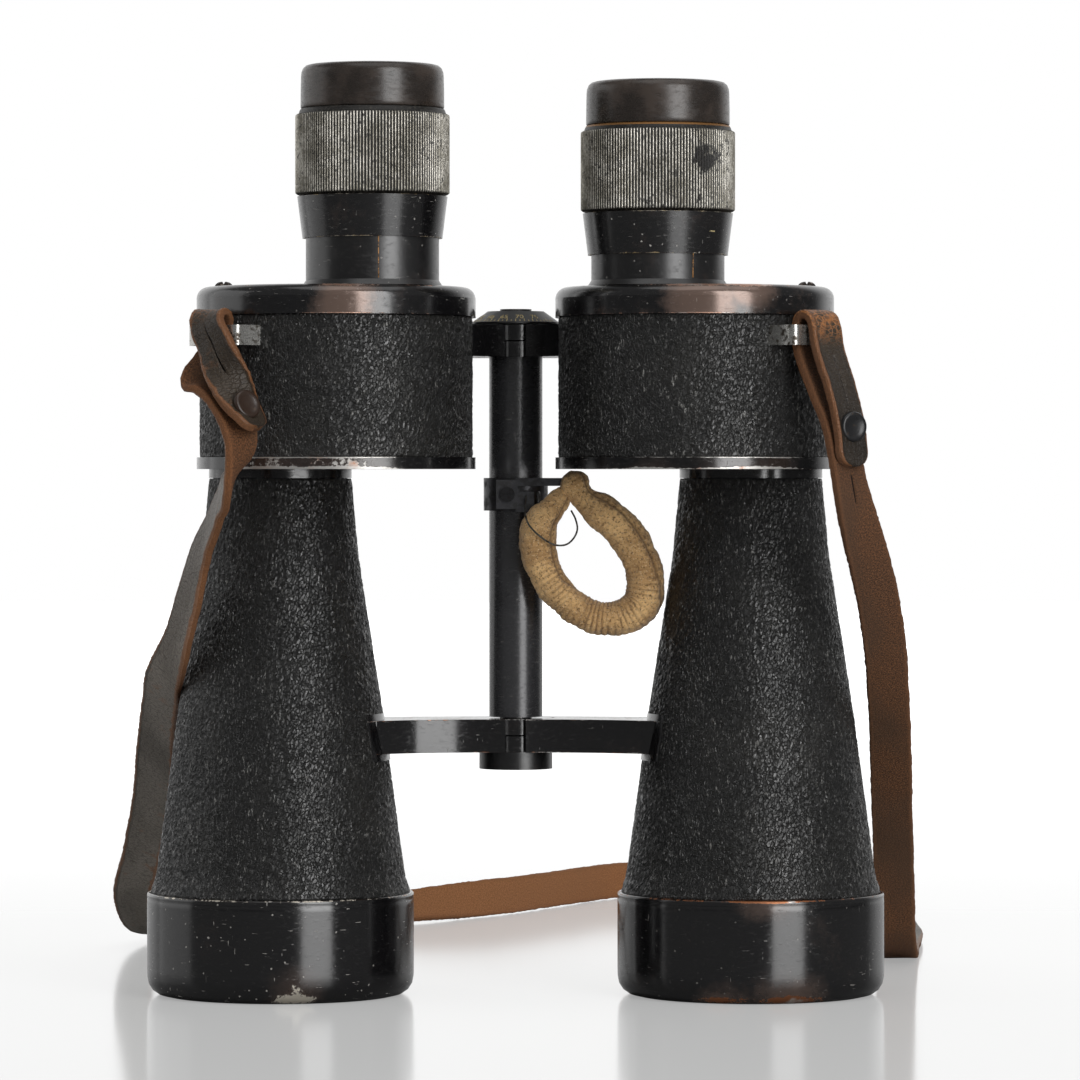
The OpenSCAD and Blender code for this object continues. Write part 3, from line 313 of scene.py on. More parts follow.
# The button slits, cut in on the middle line: one in each tab and one in the right run. Each
# has the places where it starts and stops, and fades out over slit_end.
slit_end, slit_half_w, slit_depth = 0.0012, 0.00028, 0.8
cut = sum(np.clip((far - start) / slit_end, 0, 1) * np.clip((stop - far) / slit_end, 0, 1)
          for far, start, stop in ((from_right, 0.0125, 0.0255), (from_left, 0.014, 0.0262),
                                   (from_right, 0.074, 0.0815)))
section_x = section[None, :, 0]
in_slit = np.clip(1 - np.abs(section_x) / slit_half_w, 0, 1) * cut[:, None]
thick *= 1 - slit_depth * in_slit
# Old leather is uneven: slow waves of a few lengths in its thickness and width, and frayed edges
swirl = np.random.default_rng(7)
waves = sum(a * np.sin(2 * np.pi * strap_along[:, None] / w + p + k * section_x * 300)
            for a, w, p, k in zip((0.05, 0.04, 0.03, 0.03), (0.047, 0.023, 0.0118, 0.0063),
                                  swirl.uniform(0, 6.28, 4), (0.5, -1.1, 1.7, -2.3)))
thick += waves * 1e-3 * 0.7
fray, fray_from, table_gap = 0.00005, 0.0036, 0.00012
frayed = swirl.normal(0, fray, (len(middle), 2))
frayed = np.where(section_x > 0, frayed[:, :1], frayed[:, 1:]) * (np.abs(section_x) > fray_from)
sideways += (waves * 1e-3 * 0.8 + frayed) * np.sign(section_x)
points = (middle[:, None] + sideways[..., None] * across[:, None]
          + thick[..., None] * flesh_way[:, None])
points[..., 2] = np.maximum(points[..., 2], table_gap)
grain_t, flesh_blur, rim_from, rim_blur = 0.62e-3, 0.35e-3, 3.75e-3, 0.7e-3
flesh = np.clip((section[:, 1] + grain_t) / flesh_blur, 0, 1)[None, :]
rim = np.clip((np.abs(section[:, 0]) - rim_from) / rim_blur, 0, 1)[None, :]
girth = np.concatenate([[0], np.cumsum(np.linalg.norm(np.diff(section, axis=0), axis=1))])
unrolled = np.stack(np.broadcast_arrays(girth[None, :], strap_along[:, None]), axis=-1)
strap = surface("neck_strap", points, uv=unrolled,
                attributes={"flesh": flesh, "rim": rim, "slit": in_slit})

hide = Finish("bridle_leather")
lie = hide.make("UVMap", {"uv_map": "along_and_across"})
_, length_way, _ = hide.split(lie)
fibre = hide.noise(lie, 2600, 4, 0.7)
mottle = hide.noise(lie, 260, 3, 0.6)
stain = hide.noise(hide.stretched(lie, (60, 28, 1)), 1.0, 2)
fleshy = hide.rise(hide.reading("flesh") + (mottle - 0.5) * 0.5, 0.35, 0.65)
edges = hide.reading("rim")
nap = hide.rise(fibre, 0.38, 0.66)
pale = hide.rise(length_way, 0.3, 0.4) * hide.rise(length_way, 0.76, 0.66)
from_end = length_way.least(strap_length - length_way)
handled = hide.rise(from_end, 0.17, 0.09) * hide.rise(length_way, 0.6, 0.4) * 0.3
suede = hide.over(
    (0.052, 0.021, 0.007), (nap, (0.235, 0.094, 0.033)),
    (hide.rise(stain, 0.42, 0.62) * 0.6, (0.072, 0.038, 0.019)),
    (pale * 0.85, hide.mix(nap, (0.26, 0.105, 0.036), (0.46, 0.2, 0.075))),
    (edges * 0.45, (0.22, 0.085, 0.028)), (handled, (0.05, 0.024, 0.013)))
tabs = hide.rise(from_end, 0.075, 0.045)
bent_over = hide.rise(abs(from_end - 0.037), 0.011, 0.003)
worn = hide.rise(mottle * 0.7 + stain * 0.5 + edges * 0.4 + bent_over * 0.16, 0.7, 0.86)
crack = hide.cells(hide.stretched(lie, (650, 1250, 1)), 1.0, "DISTANCE_TO_EDGE")
grooves = hide.cells(hide.stretched(lie, (520, 190, 1)), 1.0, "DISTANCE_TO_EDGE")
shade = hide.rise(stain * 0.6 + fibre * 0.4, 0.4, 0.6)
dye = hide.over(
    hide.mix(shade, (0.13, 0.112, 0.093), (0.215, 0.19, 0.162)),
    (tabs, hide.mix(shade, (0.015, 0.01, 0.0058), (0.05, 0.034, 0.02))),
    (hide.rise(crack, 0.09, 0.0) * 0.6, (0.02, 0.012, 0.007)), (worn * 0.75, (0.21, 0.082, 0.027)),
    (hide.rise(crack, 0.14, 0.02) * bent_over * 0.9, (0.34, 0.135, 0.04)), (fleshy, suede),
    # The button slits are painted near black: painted shade inside the cuts.
    (hide.rise(hide.reading("slit"), 0.15, 0.6), (0.01, 0.006, 0.004)))
hide.set(Base_Color=dye, Roughness=0.5 + fleshy * 0.4 - worn * 0.05, Normal=hide.bump(
    fibre * (fleshy * 0.9 + 0.25) + crack.least(0.12) * (1 - fleshy) * 3
    + grooves.least(0.08) * (1 - fleshy) * 3 + mottle, 0.0003, 0.85))
strap.data.materials.append(hide.material)
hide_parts("strap_right", "strap_middle", "strap_left")
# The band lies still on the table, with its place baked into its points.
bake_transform(strap)


# The strap's studs. Each is a pressed steel cap with a rolled rim, japanned black, riveted
# through both layers of the strap to a flat washer behind.
def turned(profile, columns, stretch=0.0):
    """Points where a profile of radii and heights is carried round the axis: (r cos a, r sin a,
    z), with the front and back halves moved apart along Y by `stretch`"""
    a = (np.arange(columns) + 0.5) * 2 * np.pi / columns
    r, z = profile[:, :1], profile[:, 1:]
    y = r * np.sin(a) + np.sign(np.sin(a)) * stretch / 2
    return np.stack(np.broadcast_arrays(r * np.cos(a), y, z), axis=-1)


def stepped(profile, step):
    """The same profile with points no further apart than about `step`"""
    far = np.concatenate([[0], np.cumsum(np.linalg.norm(np.diff(profile, axis=0), axis=1))])
    cuts = [np.linspace(a, b, max(int((b - a) / step), 1), endpoint=False)
            for a, b in zip(far[:-1], far[1:])]
    s = np.append(np.concatenate(cuts), far[-1])
    return np.stack([np.interp(s, far, profile[:, 0]), np.interp(s, far, profile[:, 1])], axis=1)


def fit(piece, finish, slot, body, *replaced):
    """Gives a piece its finish, hides the CAD nodes that it stands for, if any, and hangs it on the
    body that carries it. The slot is not used."""
    piece.data.materials.append(finish.material)
    if replaced:
        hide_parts(*replaced)
    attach(piece, body)
    return piece


stud_profile = np.array([
    [0.05, 2.02], [0.9, 2.06], [1.7, 2.18], [2.3, 2.36], [2.75, 2.42], [3.1, 2.28], [3.3, 1.9],
    [3.3, 1.5], [3.15, 1.16], [2.8, 1.05], [1.25, 1.02], [1.2, 0.8], [1.2, -3.9], [2.5, -3.95],
    [2.6, -4.15], [2.5, -4.4], [0.05, -4.45]]) * 1e-3
japan = Finish("japanned_steel", Specular_IOR_Level=0.6)
at = japan.place()
dull = japan.noise(at, 420, 3, 0.6)
rubbed = japan.rise(japan.noise(at, 900, 3), 0.6, 0.72)
x, _, _ = japan.split(at)
rusty = japan.rise(x, 0.02, -0.02)
black = japan.mix(rusty, (0.01, 0.01, 0.011), (0.03, 0.016, 0.01))
japan.set(Base_Color=japan.mix(rubbed * 0.5, black, (0.12, 0.085, 0.06)), Metallic=rubbed * 0.5,
          Roughness=0.2 + dull * 0.22, Normal=japan.bump(dull, 0.00006, 0.5))
for side, place, bend_by in (("right", (72.9, -36.6, 127.7), (90, 0, 31)),
                             ("left", (-59.3, -38.1, 132), (70, 0, 40))):
    points = turned(stepped(stud_profile, 0.00025), 64)
    spin = np.array(Euler([math.radians(v) for v in bend_by]).to_matrix())
    points = points @ spin.T + np.array(place) * 1e-3
    fit(surface(f"press_stud_{side}", points), japan, "stud_metal",
                     f"{side}_half", f"strap_stud_{side}")


# The covering of the two halves. Coarse-grained black imitation leather, glued round the tapered
# tubes and the prism housings; its grain stands up in short wrinkles that catch the light.
covering_t = 0.0007
axis_x, axis_y = 0.0531, 0.007
housing_x, housing_y, housing_stretch = 0.04005, -0.002, 0.008
chance = np.random.default_rng(11).random((4096, 3))


def strewn(cube):
    """A fixed random place from 0 to 1 for each whole-numbered cube, by a hash of its numbers"""
    n = cube.astype(np.int64) * [73856093, 19349663, 83492791]
    return chance[(n[..., 0] ^ n[..., 1] ^ n[..., 2]) & 4095]


def lumps(p, cell):
    """Smooth random heights from 0 to 1. Each corner of a cube of side `cell` has its own
    height, and between them they blend by 3t^2 - 2t^3."""
    cube = np.floor(p / cell)
    t = p / cell - cube
    t = t * t * (3 - 2 * t)
    total = 0
    for step in np.ndindex(2, 2, 2):
        share = np.prod(np.where(np.array(step) == 1, t, 1 - t), axis=-1)
        total = total + share * strewn(cube + step)[..., 0]
    return total


def pebbles(p, cell):
    """How much further the second nearest of points strewn one to a cube is than the nearest"""
    cube = np.floor(p / cell)
    first = np.full(p.shape[:-1], 9.0)
    second = first.copy()
    for step in np.ndindex(3, 3, 3):
        seat = cube + np.array(step) - 1
        far = np.linalg.norm(seat + strewn(seat) - p / cell, axis=-1)
        second = np.minimum(second, np.maximum(first, far))
        first = np.minimum(first, far)
    return second - first


def leather_relief(p):
    """The height of the grain from 0 to 1: wrinkles between warped, drawn-out pebbles, on
    slower lumps"""
    warp = np.stack([lumps(p + shift, 0.0021) for shift in (0, 0.13, 0.37)], axis=-1) - 0.5
    drawn = (p + warp * 0.002) * [1, 1, 0.7]
    wrinkle = np.clip(pebbles(drawn, 0.00102) / 0.3, 0, 1)**0.8
    return 0.52 * wrinkle + 0.26 * wrinkle * lumps(p + 0.21, 0.0016) + 0.22 * lumps(p, 0.0034)


skin = Finish("imitation_leather", Specular_IOR_Level=0.8)
at = skin.place()
relief = skin.reading("relief")
fine = skin.noise(at, 1500, 3, 0.65, 0.6)
wander = skin.stretched(skin.noise(at, 700, 2), (2.2, 2.2, 2.2))
bent = skin.make("VectorMath", {"operation": "ADD"},
                 {0: skin.stretched(at, (1420, 1420, 920)), 1: wander})
wrinkles = skin.cells(bent, 1.0, "DISTANCE_TO_EDGE")
dusty = skin.rise(skin.noise(at, 60, 3), 0.45, 0.75)
streaks = skin.noise(skin.stretched(at, (2300, 2300, 560), (0.4, 0.3, 0.5)), 1.0, 2, 0.6)
knocks = skin.rise(skin.noise(at, 230, 2), 0.48, 0.6)
# Pale marks: partly real scrapes, partly painted glints of raised flakes of the grain.
scrapes_and_glints = skin.rise(streaks, 0.61, 0.67) * knocks
# The grain's valleys are painted darker than its raised tops: painted shade in the hollows.
pitch = skin.over(
    (0.0016, 0.0015, 0.0013), (skin.rise(relief, 0.2, 0.8), (0.008, 0.0076, 0.0068)),
    (dusty * 0.3, (0.026, 0.024, 0.02)), (scrapes_and_glints * 0.7, (0.25, 0.245, 0.23)))
polish = skin.rise(relief, 0.35, 0.85)
skin.set(Base_Color=pitch, Roughness=0.5 - polish * 0.24 + (fine - 0.5) * 0.35,
         Normal=skin.bump(fine * 0.2 + wrinkles.least(0.13) * 3.2, 0.00038, 1.0))

tube_side = np.array([
    [29.25, 23.15], [28.9, 24.2], [28.2, 26.2], [27.75, 28.4], [23.0, 64.0], [18.0, 95.9],
    [17.55, 98.6], [16.65, 108.5], [15.95, 116.4]]) * 1e-3
housing_side = np.array([[30.35, 121.15], [30.3, 152.45]]) * 1e-3
# How far the grain stands in and out in all, the strip along each edge where it fades, and its
# height on the glued face
grain_rise, grain_fade, glued_height = 0.00048, 0.0007, 0.35
sides = ("right", 1), ("left", -1)
for side, mirror in sides:
    for kind, outline, centre, columns, step, stretch in (
            ("tube", tube_side, (axis_x, axis_y, 0), 400, 0.00042, 0.0),
            ("housing", housing_side, (housing_x, housing_y, 0), 480, 0.0004, housing_stretch)):
        outer = stepped(outline, step)
        profile = np.vstack([outer, outline[::-1] - [covering_t, 0]])
        points = turned(profile, columns, stretch)
        height = leather_relief(points + [mirror, 0.5, 0.3])
        height[len(outer):] = glued_height
        from_edge = np.minimum(profile[:, 1] - outline[0, 1], outline[-1, 1] - profile[:, 1])
        push = (height - 0.5) * grain_rise * np.clip(from_edge / grain_fade, 0, 1)[:, None]
        radial = unit(points * [1, 1, 0] - [0, stretch / 2, 0] * np.sign(points[..., 1:2]))
        points = (points + push[..., None] * radial + centre) * [mirror, 1, 1]
        fit(surface(f"{kind}_covering_{side}", points, looped=True, attributes={"relief": height}),
            skin, "grained_leather", f"{side}_half", f"{kind}_leather_{side}")


# The black lacquer on the brass and steel of the body. Stove enamel, glossy where it is sound,
# dulled by fine scuffs, and chipped through to bare metal along the edges that hands and tables
# touch. It covers the housings, their plates, the sockets, the arms and the column.
def dress(finish, *nodes):
    """Puts a finish on CAD pieces that keep their own shape"""
    for node in nodes:
        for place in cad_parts[node].material_slots:
            place.material = finish.material


def both(*names):
    """The pieces of both sides with these names"""
    return [f"{name}_{side}" for name in names for side, _ in sides]


def lacquer(name, edges=(), spots=(), bare=(0.62, 0.6, 0.57), warm=(0.42, 0.17, 0.075),
            warmth=0.5, wear=0.0, gloss=0.17, specks=0.0, scratched=0.15, rubbing=0.3, depth=0.5,
            thinned=(0.3, 0.205, 0.165)):
    """Black enamel that wears through near the heights in `edges`, each with its reach, and
    round the points in `spots`, each with its radius, where `depth` says how far it is chipped
    and `rubbing` how far it is rubbed thin, to the colour `thinned`. Where it is chipped the
    metal is `bare` or, for the share `warmth`, `warm`."""
    f = Finish(name, Specular_IOR_Level=0.95)
    at = f.place()
    _, _, z = f.split(at)
    chips = f.noise(at, 700, 4, 0.7)
    drift = f.noise(at, 95, 3)
    near = f.reading("edge")
    for height, reach in edges:
        near = near.most(1 - abs(z - height) / reach)
    rubbed = 0
    for *spot, radius in spots:
        rubbed = (1 - f.away(at, spot) / radius).most(rubbed)
    attack = near * 0.34 + rubbed * depth + drift * 0.4
    through = f.rise(attack + chips * 0.55, 0.86 - wear, 0.92 - wear)
    thin = f.rise(attack + chips * 0.25, 0.55 - wear, 0.9 - wear)
    scuffs = f.rise(f.noise(f.stretched(at, (620, 620, 1500)), 1.0, 3, 0.7), 0.5, 0.74)
    patches = f.rise(f.noise(at, 120, 2), 0.45, 0.7)
    scored = f.noise(f.stretched(at, (300, 300, 2600), (0.25, 0.3, 0.2)), 1.0, 2, 0.6).most(
        f.noise(f.stretched(at, (2100, 2100, 260), (0.15, -0.2, 0.4)), 1.0, 2, 0.6) - 0.02)
    scratches = f.rise(scored + patches * 0.06, 0.725, 0.775)
    dots = f.rise(f.cells(at, 420) + (chips - 0.5) * 0.35, 0.1, 0.05) * specks
    marks = dots.most(scratches * scratched)
    sheer = f.rise(rubbed * 1.1 + (drift - 0.5) * 0.9 + (chips - 0.5) * 0.5, 0.05, 0.75) * rubbing
    tones = f.noise(at, 170, 2) * 0.7 + chips * 0.3
    ruddy = f.rise(tones, 0.6 - warmth * 0.3, 0.74 - warmth * 0.3)
    colour = f.over(
        (0.0042, 0.004, 0.0045), (scuffs * 0.25, (0.026, 0.024, 0.023)),
        (thin * 0.3, (0.06, 0.032, 0.021)), (sheer, thinned),
        (marks, (0.42, 0.4, 0.37)), (through, f.mix(ruddy, bare, warm)))
    f.set(Base_Color=colour, Metallic=(through * 0.75).most(sheer * 0.8),
          Roughness=gloss + scuffs * 0.14 + through * 0.2 + (drift - 0.5) * 0.12 + marks * 0.3,
          Normal=f.bump((1 - through) + chips * 0.12 + scuffs * 0.1 - scratches * 0.3,
                        0.00005, 0.8))
    return f


flange = dict(edges=[(0.1185, 0.0007), (0.1211, 0.0003)], warmth=0.1, rubbing=0.08, depth=0.6)
plate = dict(edges=[(0.1526, 0.0003), (0.1588, 0.0008)], bare=(0.66, 0.61, 0.58), scratched=0.45,
             warm=(0.5, 0.3, 0.22), warmth=0.75, specks=0.3, rubbing=0.6, depth=0.3)
for side, flange_spots, plate_spots in (
        ("right", [(0.051, -0.0345, 0.1125, 0.019), (0.028, -0.0355, 0.112, 0.013)],
         [(0.0415, -0.0372, 0.1555, 0.011), (0.052, -0.0355, 0.159, 0.009)]),
        ("left", [(-0.052, -0.0345, 0.113, 0.019), (-0.039, -0.0362, 0.113, 0.019)],
         [(-0.0365, -0.0372, 0.1555, 0.0095)])):
    dress(lacquer(f"housing_lacquer_{side}", spots=flange_spots, **flange), f"prism_housing_{side}")
    dress(lacquer(f"plate_lacquer_{side}", spots=plate_spots, **plate), f"ocular_plate_{side}")
dress(lacquer("tube_lacquer", [(0.1184, 0.0005)]), *both("objective_tube"))
dress(lacquer("socket_lacquer", gloss=0.3, specks=0.3, scratched=0.25), *both("eyepiece_socket"))
for side, low, high in (("right", 0.1658, 0.175), ("left", 0.16955, 0.17875)):
    dress(lacquer(f"dioptre_lacquer_{side}", [(low, 0.0008), (high, 0.0003)], wear=0.05, gloss=0.2,
                  bare=(0.6, 0.55, 0.45), warm=(0.45, 0.33, 0.17), specks=0.7, scratched=0.35),
          f"dioptre_ring_{side}")
dress(lacquer("arm_lacquer", [(0.0546, 0.0004), (0.0619, 0.0004)], wear=0.06, scratched=0.3,
              gloss=0.13), *both("lower_arm"))
column_spots = [(0, 0.0055, z, 0.024) for z in (0.062, 0.08, 0.098, 0.116, 0.134)]
dress(lacquer("column_lacquer", spots=column_spots, scratched=0.3, gloss=0.26, specks=0.3,
              depth=0.0, rubbing=0.22, thinned=(0.15, 0.15, 0.16)), "hinge_column")
dress(lacquer("dial_lacquer", [(0.1517, 0.0003)], gloss=0.4), "distance_dial")
dress(lacquer("nut_lacquer", [(0.0546, 0.0004)], gloss=0.3), "hinge_nut")


# The objective rings. Turned brass rings, lacquered black, screwed over the foot of each tube so
# that the binoculars can stand on them; each holds the objective cell on a lip inside.
def swell(value, middle, width):
    """1 at the middle and 0 beyond `width` from it, along a cosine"""
    return 0.5 + 0.5 * np.cos(np.pi * np.clip(np.abs(value - middle) / width, 0, 1))


ring_profile = np.array([
    [25.2, 0.3], [25.6, 0], [26.1, 0], [27.6, 0.35], [28.9, 1.25], [29.75, 2.6], [30.05, 4.2],
    [30.1, 6], [30.1, 21.6], [30.02, 22.0], [30.1, 22.4], [30.05, 22.85], [29.8, 23.08],
    [29.3, 23.1], [27.25, 23.1], [27.25, 5.35], [25.2, 5.3], [25.2, 0.3]]) * 1e-3
ring_profile = stepped(ring_profile, 0.0011)[:-1]
ring_finish = {
    "right": dict(spots=[(0.061, -0.0223, -0.003, 0.013), (0.046, -0.0226, -0.003, 0.01),
                         (0.056, -0.023, 0.0255, 0.01)], warm=(0.34, 0.13, 0.055), warmth=0.95,
                  specks=0.25, scratched=0.3, rubbing=0.25),
    "left": dict(spots=[(-0.0485, -0.0228, 0.0022, 0.0086)], bare=(0.78, 0.72, 0.62), warmth=0.05,
                 specks=0.7, scratched=0.8, rubbing=0.1)}
# Bare metal shows most along the ring's upper rim and its foot
r, z = (ring_profile * 1e3).T
near_edge = np.maximum(1.25 * swell(z, 22.95, 0.55) * (r > 28.6),
                       0.7 * swell(z, 1.0, 1.8) * (r > 26.5))
for side, mirror in sides:
    points = (turned(ring_profile, 256) + [axis_x, axis_y, 0]) * [mirror, 1, 1]
    ring = surface(f"objective_ring_lacquered_{side}", points, looped=True,
                   attributes={"edge": near_edge[:, None]})
    fit(ring, lacquer(f"ring_lacquer_{side}", gloss=0.15, **ring_finish[side]), "black_lacquer",
        f"{side}_half", f"objective_ring_{side}")


# The focus rings. Each eyepiece is focused by turning a brass cap with 150 straight-cut teeth,
# once blackened, now worn to grey metal on their tops, with dirt packed between them.
teeth, focus_r, tooth_depth = 150, 17.1, 0.34
eyepiece_x, eyepiece_y, left_raise = 0.0316, -0.017, 0.00375
eyepieces = ("right", 1, 0.0), ("left", -1, left_raise)
focus_profile = np.array([
    [14.9, 175.0], [16.2, 175.0], [16.25, 175.4], [16.6, 175.42], [17.05, 175.75], [17.1, 176.0],
    [17.1, 180], [17.1, 185], [17.1, 190], [17.1, 192.7], [17.0, 193.0], [16.65, 193.2],
    [16.35, 193.25], [16.15, 193.9], [15.9, 194.35], [15.4, 194.5], [11.7, 194.5], [11.7, 190.6],
    [14.9, 190.5]]) * 1e-3
# How deeply the teeth are cut at each of those points, and one tooth's height across its width
toothed = np.array([0, 0, 0, 0.15, 0.8, 1, 1, 1, 1, 1, 0.8, 0.15, 0, 0, 0, 0, 0, 0, 0])
tooth_shape = np.tile([0.0, 0.0, 0.85, 1.0, 0.85, 0.0], teeth)[None, :]
brass = Finish("worn_toothed_metal", Specular_IOR_Level=0.5)
at = brass.place()
top = brass.rise(brass.reading("tooth"), 0.45, 0.9)
patch = brass.noise(at, 190, 3, 0.6)
grit = brass.noise(at, 1400, 3, 0.7)
x, _, z = brass.split(at)
lip = brass.rise(z, 0.1939, 0.194) * brass.rise(x, 0, 0.001)
sound = brass.rise(brass.away(at, (0.0425, -0.03, 0.1868)), 0.006, 0.0015)
kept = brass.rise(patch * 0.75 + grit * 0.25 + sound * 0.2, 0.61, 0.68)
specks = brass.rise(brass.noise(at, 760, 3, 0.7), 0.56, 0.64)
bright = top * (1 - kept.most(specks * 0.8))
grey = brass.mix(brass.rise(grit * 0.5 + patch * 0.5, 0.4, 0.62),
                 (0.36, 0.335, 0.275), (0.9, 0.86, 0.77))
dark = brass.mix(brass.rise(grit, 0.5, 0.7), (0.007, 0.006, 0.005), (0.045, 0.04, 0.032))
coloured = brass.over(dark, (bright, grey), (lip, (0.26, 0.125, 0.038)))
brass.set(Base_Color=coloured, Metallic=bright.most(lip * 0.7) * 0.8,
          Roughness=0.46 - bright * 0.08 + (grit - 0.5) * 0.3,
          Normal=brass.bump(grit, 0.00008, 0.6))
cut_in = (1 - tooth_shape) * toothed[:, None]
tooth = np.where(toothed[:, None] > 0.5, tooth_shape, 0.0)
for side, mirror, lift in eyepieces:
    points = turned(focus_profile, tooth_shape.size)
    points *= 1 - np.stack([cut_in, cut_in, 0 * cut_in], axis=-1) * tooth_depth / focus_r
    points = (points + [eyepiece_x, eyepiece_y, lift]) * [mirror, 1, 1]
    fit(surface(f"focus_ring_toothed_{side}", points, looped=True, attributes={"tooth": tooth}),
        brass, "worn_toothed_metal", f"{side}_focus", f"focus_ring_{side}")


# The eyecups. Moulded in dark brown bakelite with a rounded rim, screwed into the focus rings;
# the polish has gone dull and the brown shows where hands have rubbed it.
cup_profile = np.array([
    [10.1, 194.5], [15.75, 194.5], [15.9, 194.75], [15.88, 198], [15.8, 201.6], [15.7, 202.5],
    [15.35, 203.35], [14.75, 203.9], [14.0, 204.1], [13.5, 204.05], [13.1, 203.7], [12.7, 202.6],
    [10.4, 196.6], [10.1, 196.1], [10.1, 194.5]]) * 1e-3
cup_profile = stepped(cup_profile, 0.0007)[:-1]
resin = Finish("dark_bakelite", Specular_IOR_Level=0.6)
at = resin.place()
rubbed = resin.noise(at, 130, 3, 0.6)
scratch = resin.noise(resin.stretched(at, (500, 500, 1500)), 1.0, 3, 0.7)
brown = resin.mix(resin.rise(rubbed, 0.35, 0.7), (0.019, 0.0145, 0.012), (0.047, 0.035, 0.028))
scuffed = resin.rise(scratch, 0.45, 0.7)
resin.set(Base_Color=brown, Roughness=0.26 + scuffed * 0.14 + (rubbed - 0.5) * 0.15,
          Normal=resin.bump(scratch, 0.00003, 0.6))
for side, mirror, lift in eyepieces:
    points = (turned(cup_profile, 160) + [eyepiece_x, eyepiece_y, lift]) * [mirror, 1, 1]
    fit(surface(f"eyecup_moulded_{side}", points, looped=True), resin, "dark_bakelite",
        f"{side}_focus", f"eyecup_{side}")


# The carrying loop. A cord ring sewn into a tube of tan cloth, with a knob at one end where it
# is bound, hung by a steel ring and a twist of wire from the clamp on the hinge column.
def tube(path, radius, columns, side):
    """Rings of points round a path, and the angle of each column of them from `side`"""
    a = (np.arange(columns)[:, None] + 0.5) * 2 * np.pi / columns
    first, second = square_to(path, np.array(side))
    ring = np.cos(a) * first[:, None] + np.sin(a) * second[:, None]
    return path[:, None] + radius * ring, a.T


# The loop's middle line from the knob to the flap, in millimetres, and the radius there
loop_route = np.array([
    [12.3, 7.0, 118.1, 0.5], [12.5, 7.0, 117.5, 1.9], [12.9, 6.9, 116.4, 3.0],
    [13.6, 6.7, 114.6, 3.45], [14.7, 6.4, 112.9, 2.95], [15.9, 6.1, 111.6, 3.05],
    [18.2, 5.8, 109.8, 4.0], [22.2, 5.5, 106.7, 4.1], [25.7, 5.5, 102.7, 4.15],
    [28.2, 5.5, 97.8, 4.2], [29.2, 5.5, 92.6, 4.35], [28.3, 5.5, 88.2, 4.4], [25, 5.5, 85.6, 4.1],
    [20.7, 5.5, 84.7, 3.75], [16.3, 5.5, 85.6, 3.7], [12.3, 5.5, 87.9, 3.65], [8.9, 5.5, 91.6, 3.7],
    [6.5, 5.5, 95.9, 3.9], [5.3, 5.4, 100, 4.2], [5.1, 5.2, 104.3, 4.3], [6.2, 5.4, 107.3, 3.75],
    [8.4, 5.9, 109.9, 3.0], [10.3, 6.5, 112.5, 2.3], [11, 6.8, 114, 1.2], [11.2, 6.9, 114.6, 0.4]])
loop_rows, loop_along = curve_through(loop_route * 1e-3, 0.00027)
loop_middle = loop_rows[:, :3]
base, a = tube(loop_middle, loop_rows[:, 3, None, None], 88, (0, 1, 0))
s, fold_gap, stitch_gap = loop_along[:, None], 0.00118, 0.0017
bend = swell(s, 0.046, 0.03) + 0.45
uneven = lumps(base + 0.4, 0.0035) - 0.5
# Folds across the tube, deepest on the inside of the bend, which never run quite round it
fold_phase = s / fold_gap + uneven * 0.55 + 0.1 * np.sin(a * 2 + s * 350)
folds = (0.5 + 0.5 * np.cos(2 * np.pi * fold_phase))**3
folds = folds * np.clip(lumps(base + 0.9, 0.0024) * 1.6 - 0.2, 0, 1)
# The seam runs down the outer side of one limb, goes round the back and comes up on the inner
# side of the other
seam_at = np.interp(s, [0, 0.008, 0.03, 0.038, 0.052, 0.06, 0.084],
                    np.array([0.7, 0.78, 0.79, 0.5, -0.3, -0.74, -0.76]) * np.pi)
from_seam = np.abs(np.angle(np.exp(1j * (a - seam_at))))
seam = np.clip(1.3 - from_seam / 0.13, 0, 1)
stitch = np.clip(1 - np.abs(from_seam - 0.22) / 0.1, 0, 1)
stitch = stitch * (np.cos(2 * np.pi * s / stitch_gap) > 0.1)
lift = (uneven * 0.7 - folds * 0.12 * bend - seam * 0.3 - stitch * 0.16
        + (lumps(base + 0.6, 0.0008) - 0.5) * 0.3) * 1e-3
loop_points = base + lift[..., None] * unit(base - loop_middle[:, None])
loop = surface("cloth_loop", loop_points,
               attributes={"fold": folds * bend, "seam": np.maximum(seam, stitch)})
cloth = Finish("loop_cloth", Roughness=0.92, Specular_IOR_Level=0.2, Sheen_Weight=0.25)
at = cloth.place()
threads = cloth.noise(at, 3000, 2, 0.7)
flecks = cloth.noise(at, 1800, 3, 0.75)
soiled = cloth.noise(at, 160, 3, 0.6)
specks = cloth.rise(flecks * 0.75 + threads * 0.25, 0.52, 0.6)
tan = cloth.over(
    (0.45, 0.265, 0.112), (cloth.rise(soiled, 0.35, 0.65), (0.7, 0.445, 0.2)),
    (specks * 0.9, (0.115, 0.058, 0.022)),
    (cloth.rise(threads, 0.56, 0.68) * 0.6, (0.85, 0.66, 0.42)),
    # The folds are painted darker, most on the inside of the bend: painted shade in the creases.
    (cloth.reading("fold") * 0.65, (0.15, 0.078, 0.032)),
    (cloth.reading("seam") * 0.7, (0.095, 0.048, 0.022)))
cloth.set(Base_Color=tan, Normal=cloth.bump(threads * 0.6 + flecks, 0.00022, 1.0))
fit(loop, cloth, "loop_cloth", "right_half", "carrying_loop")

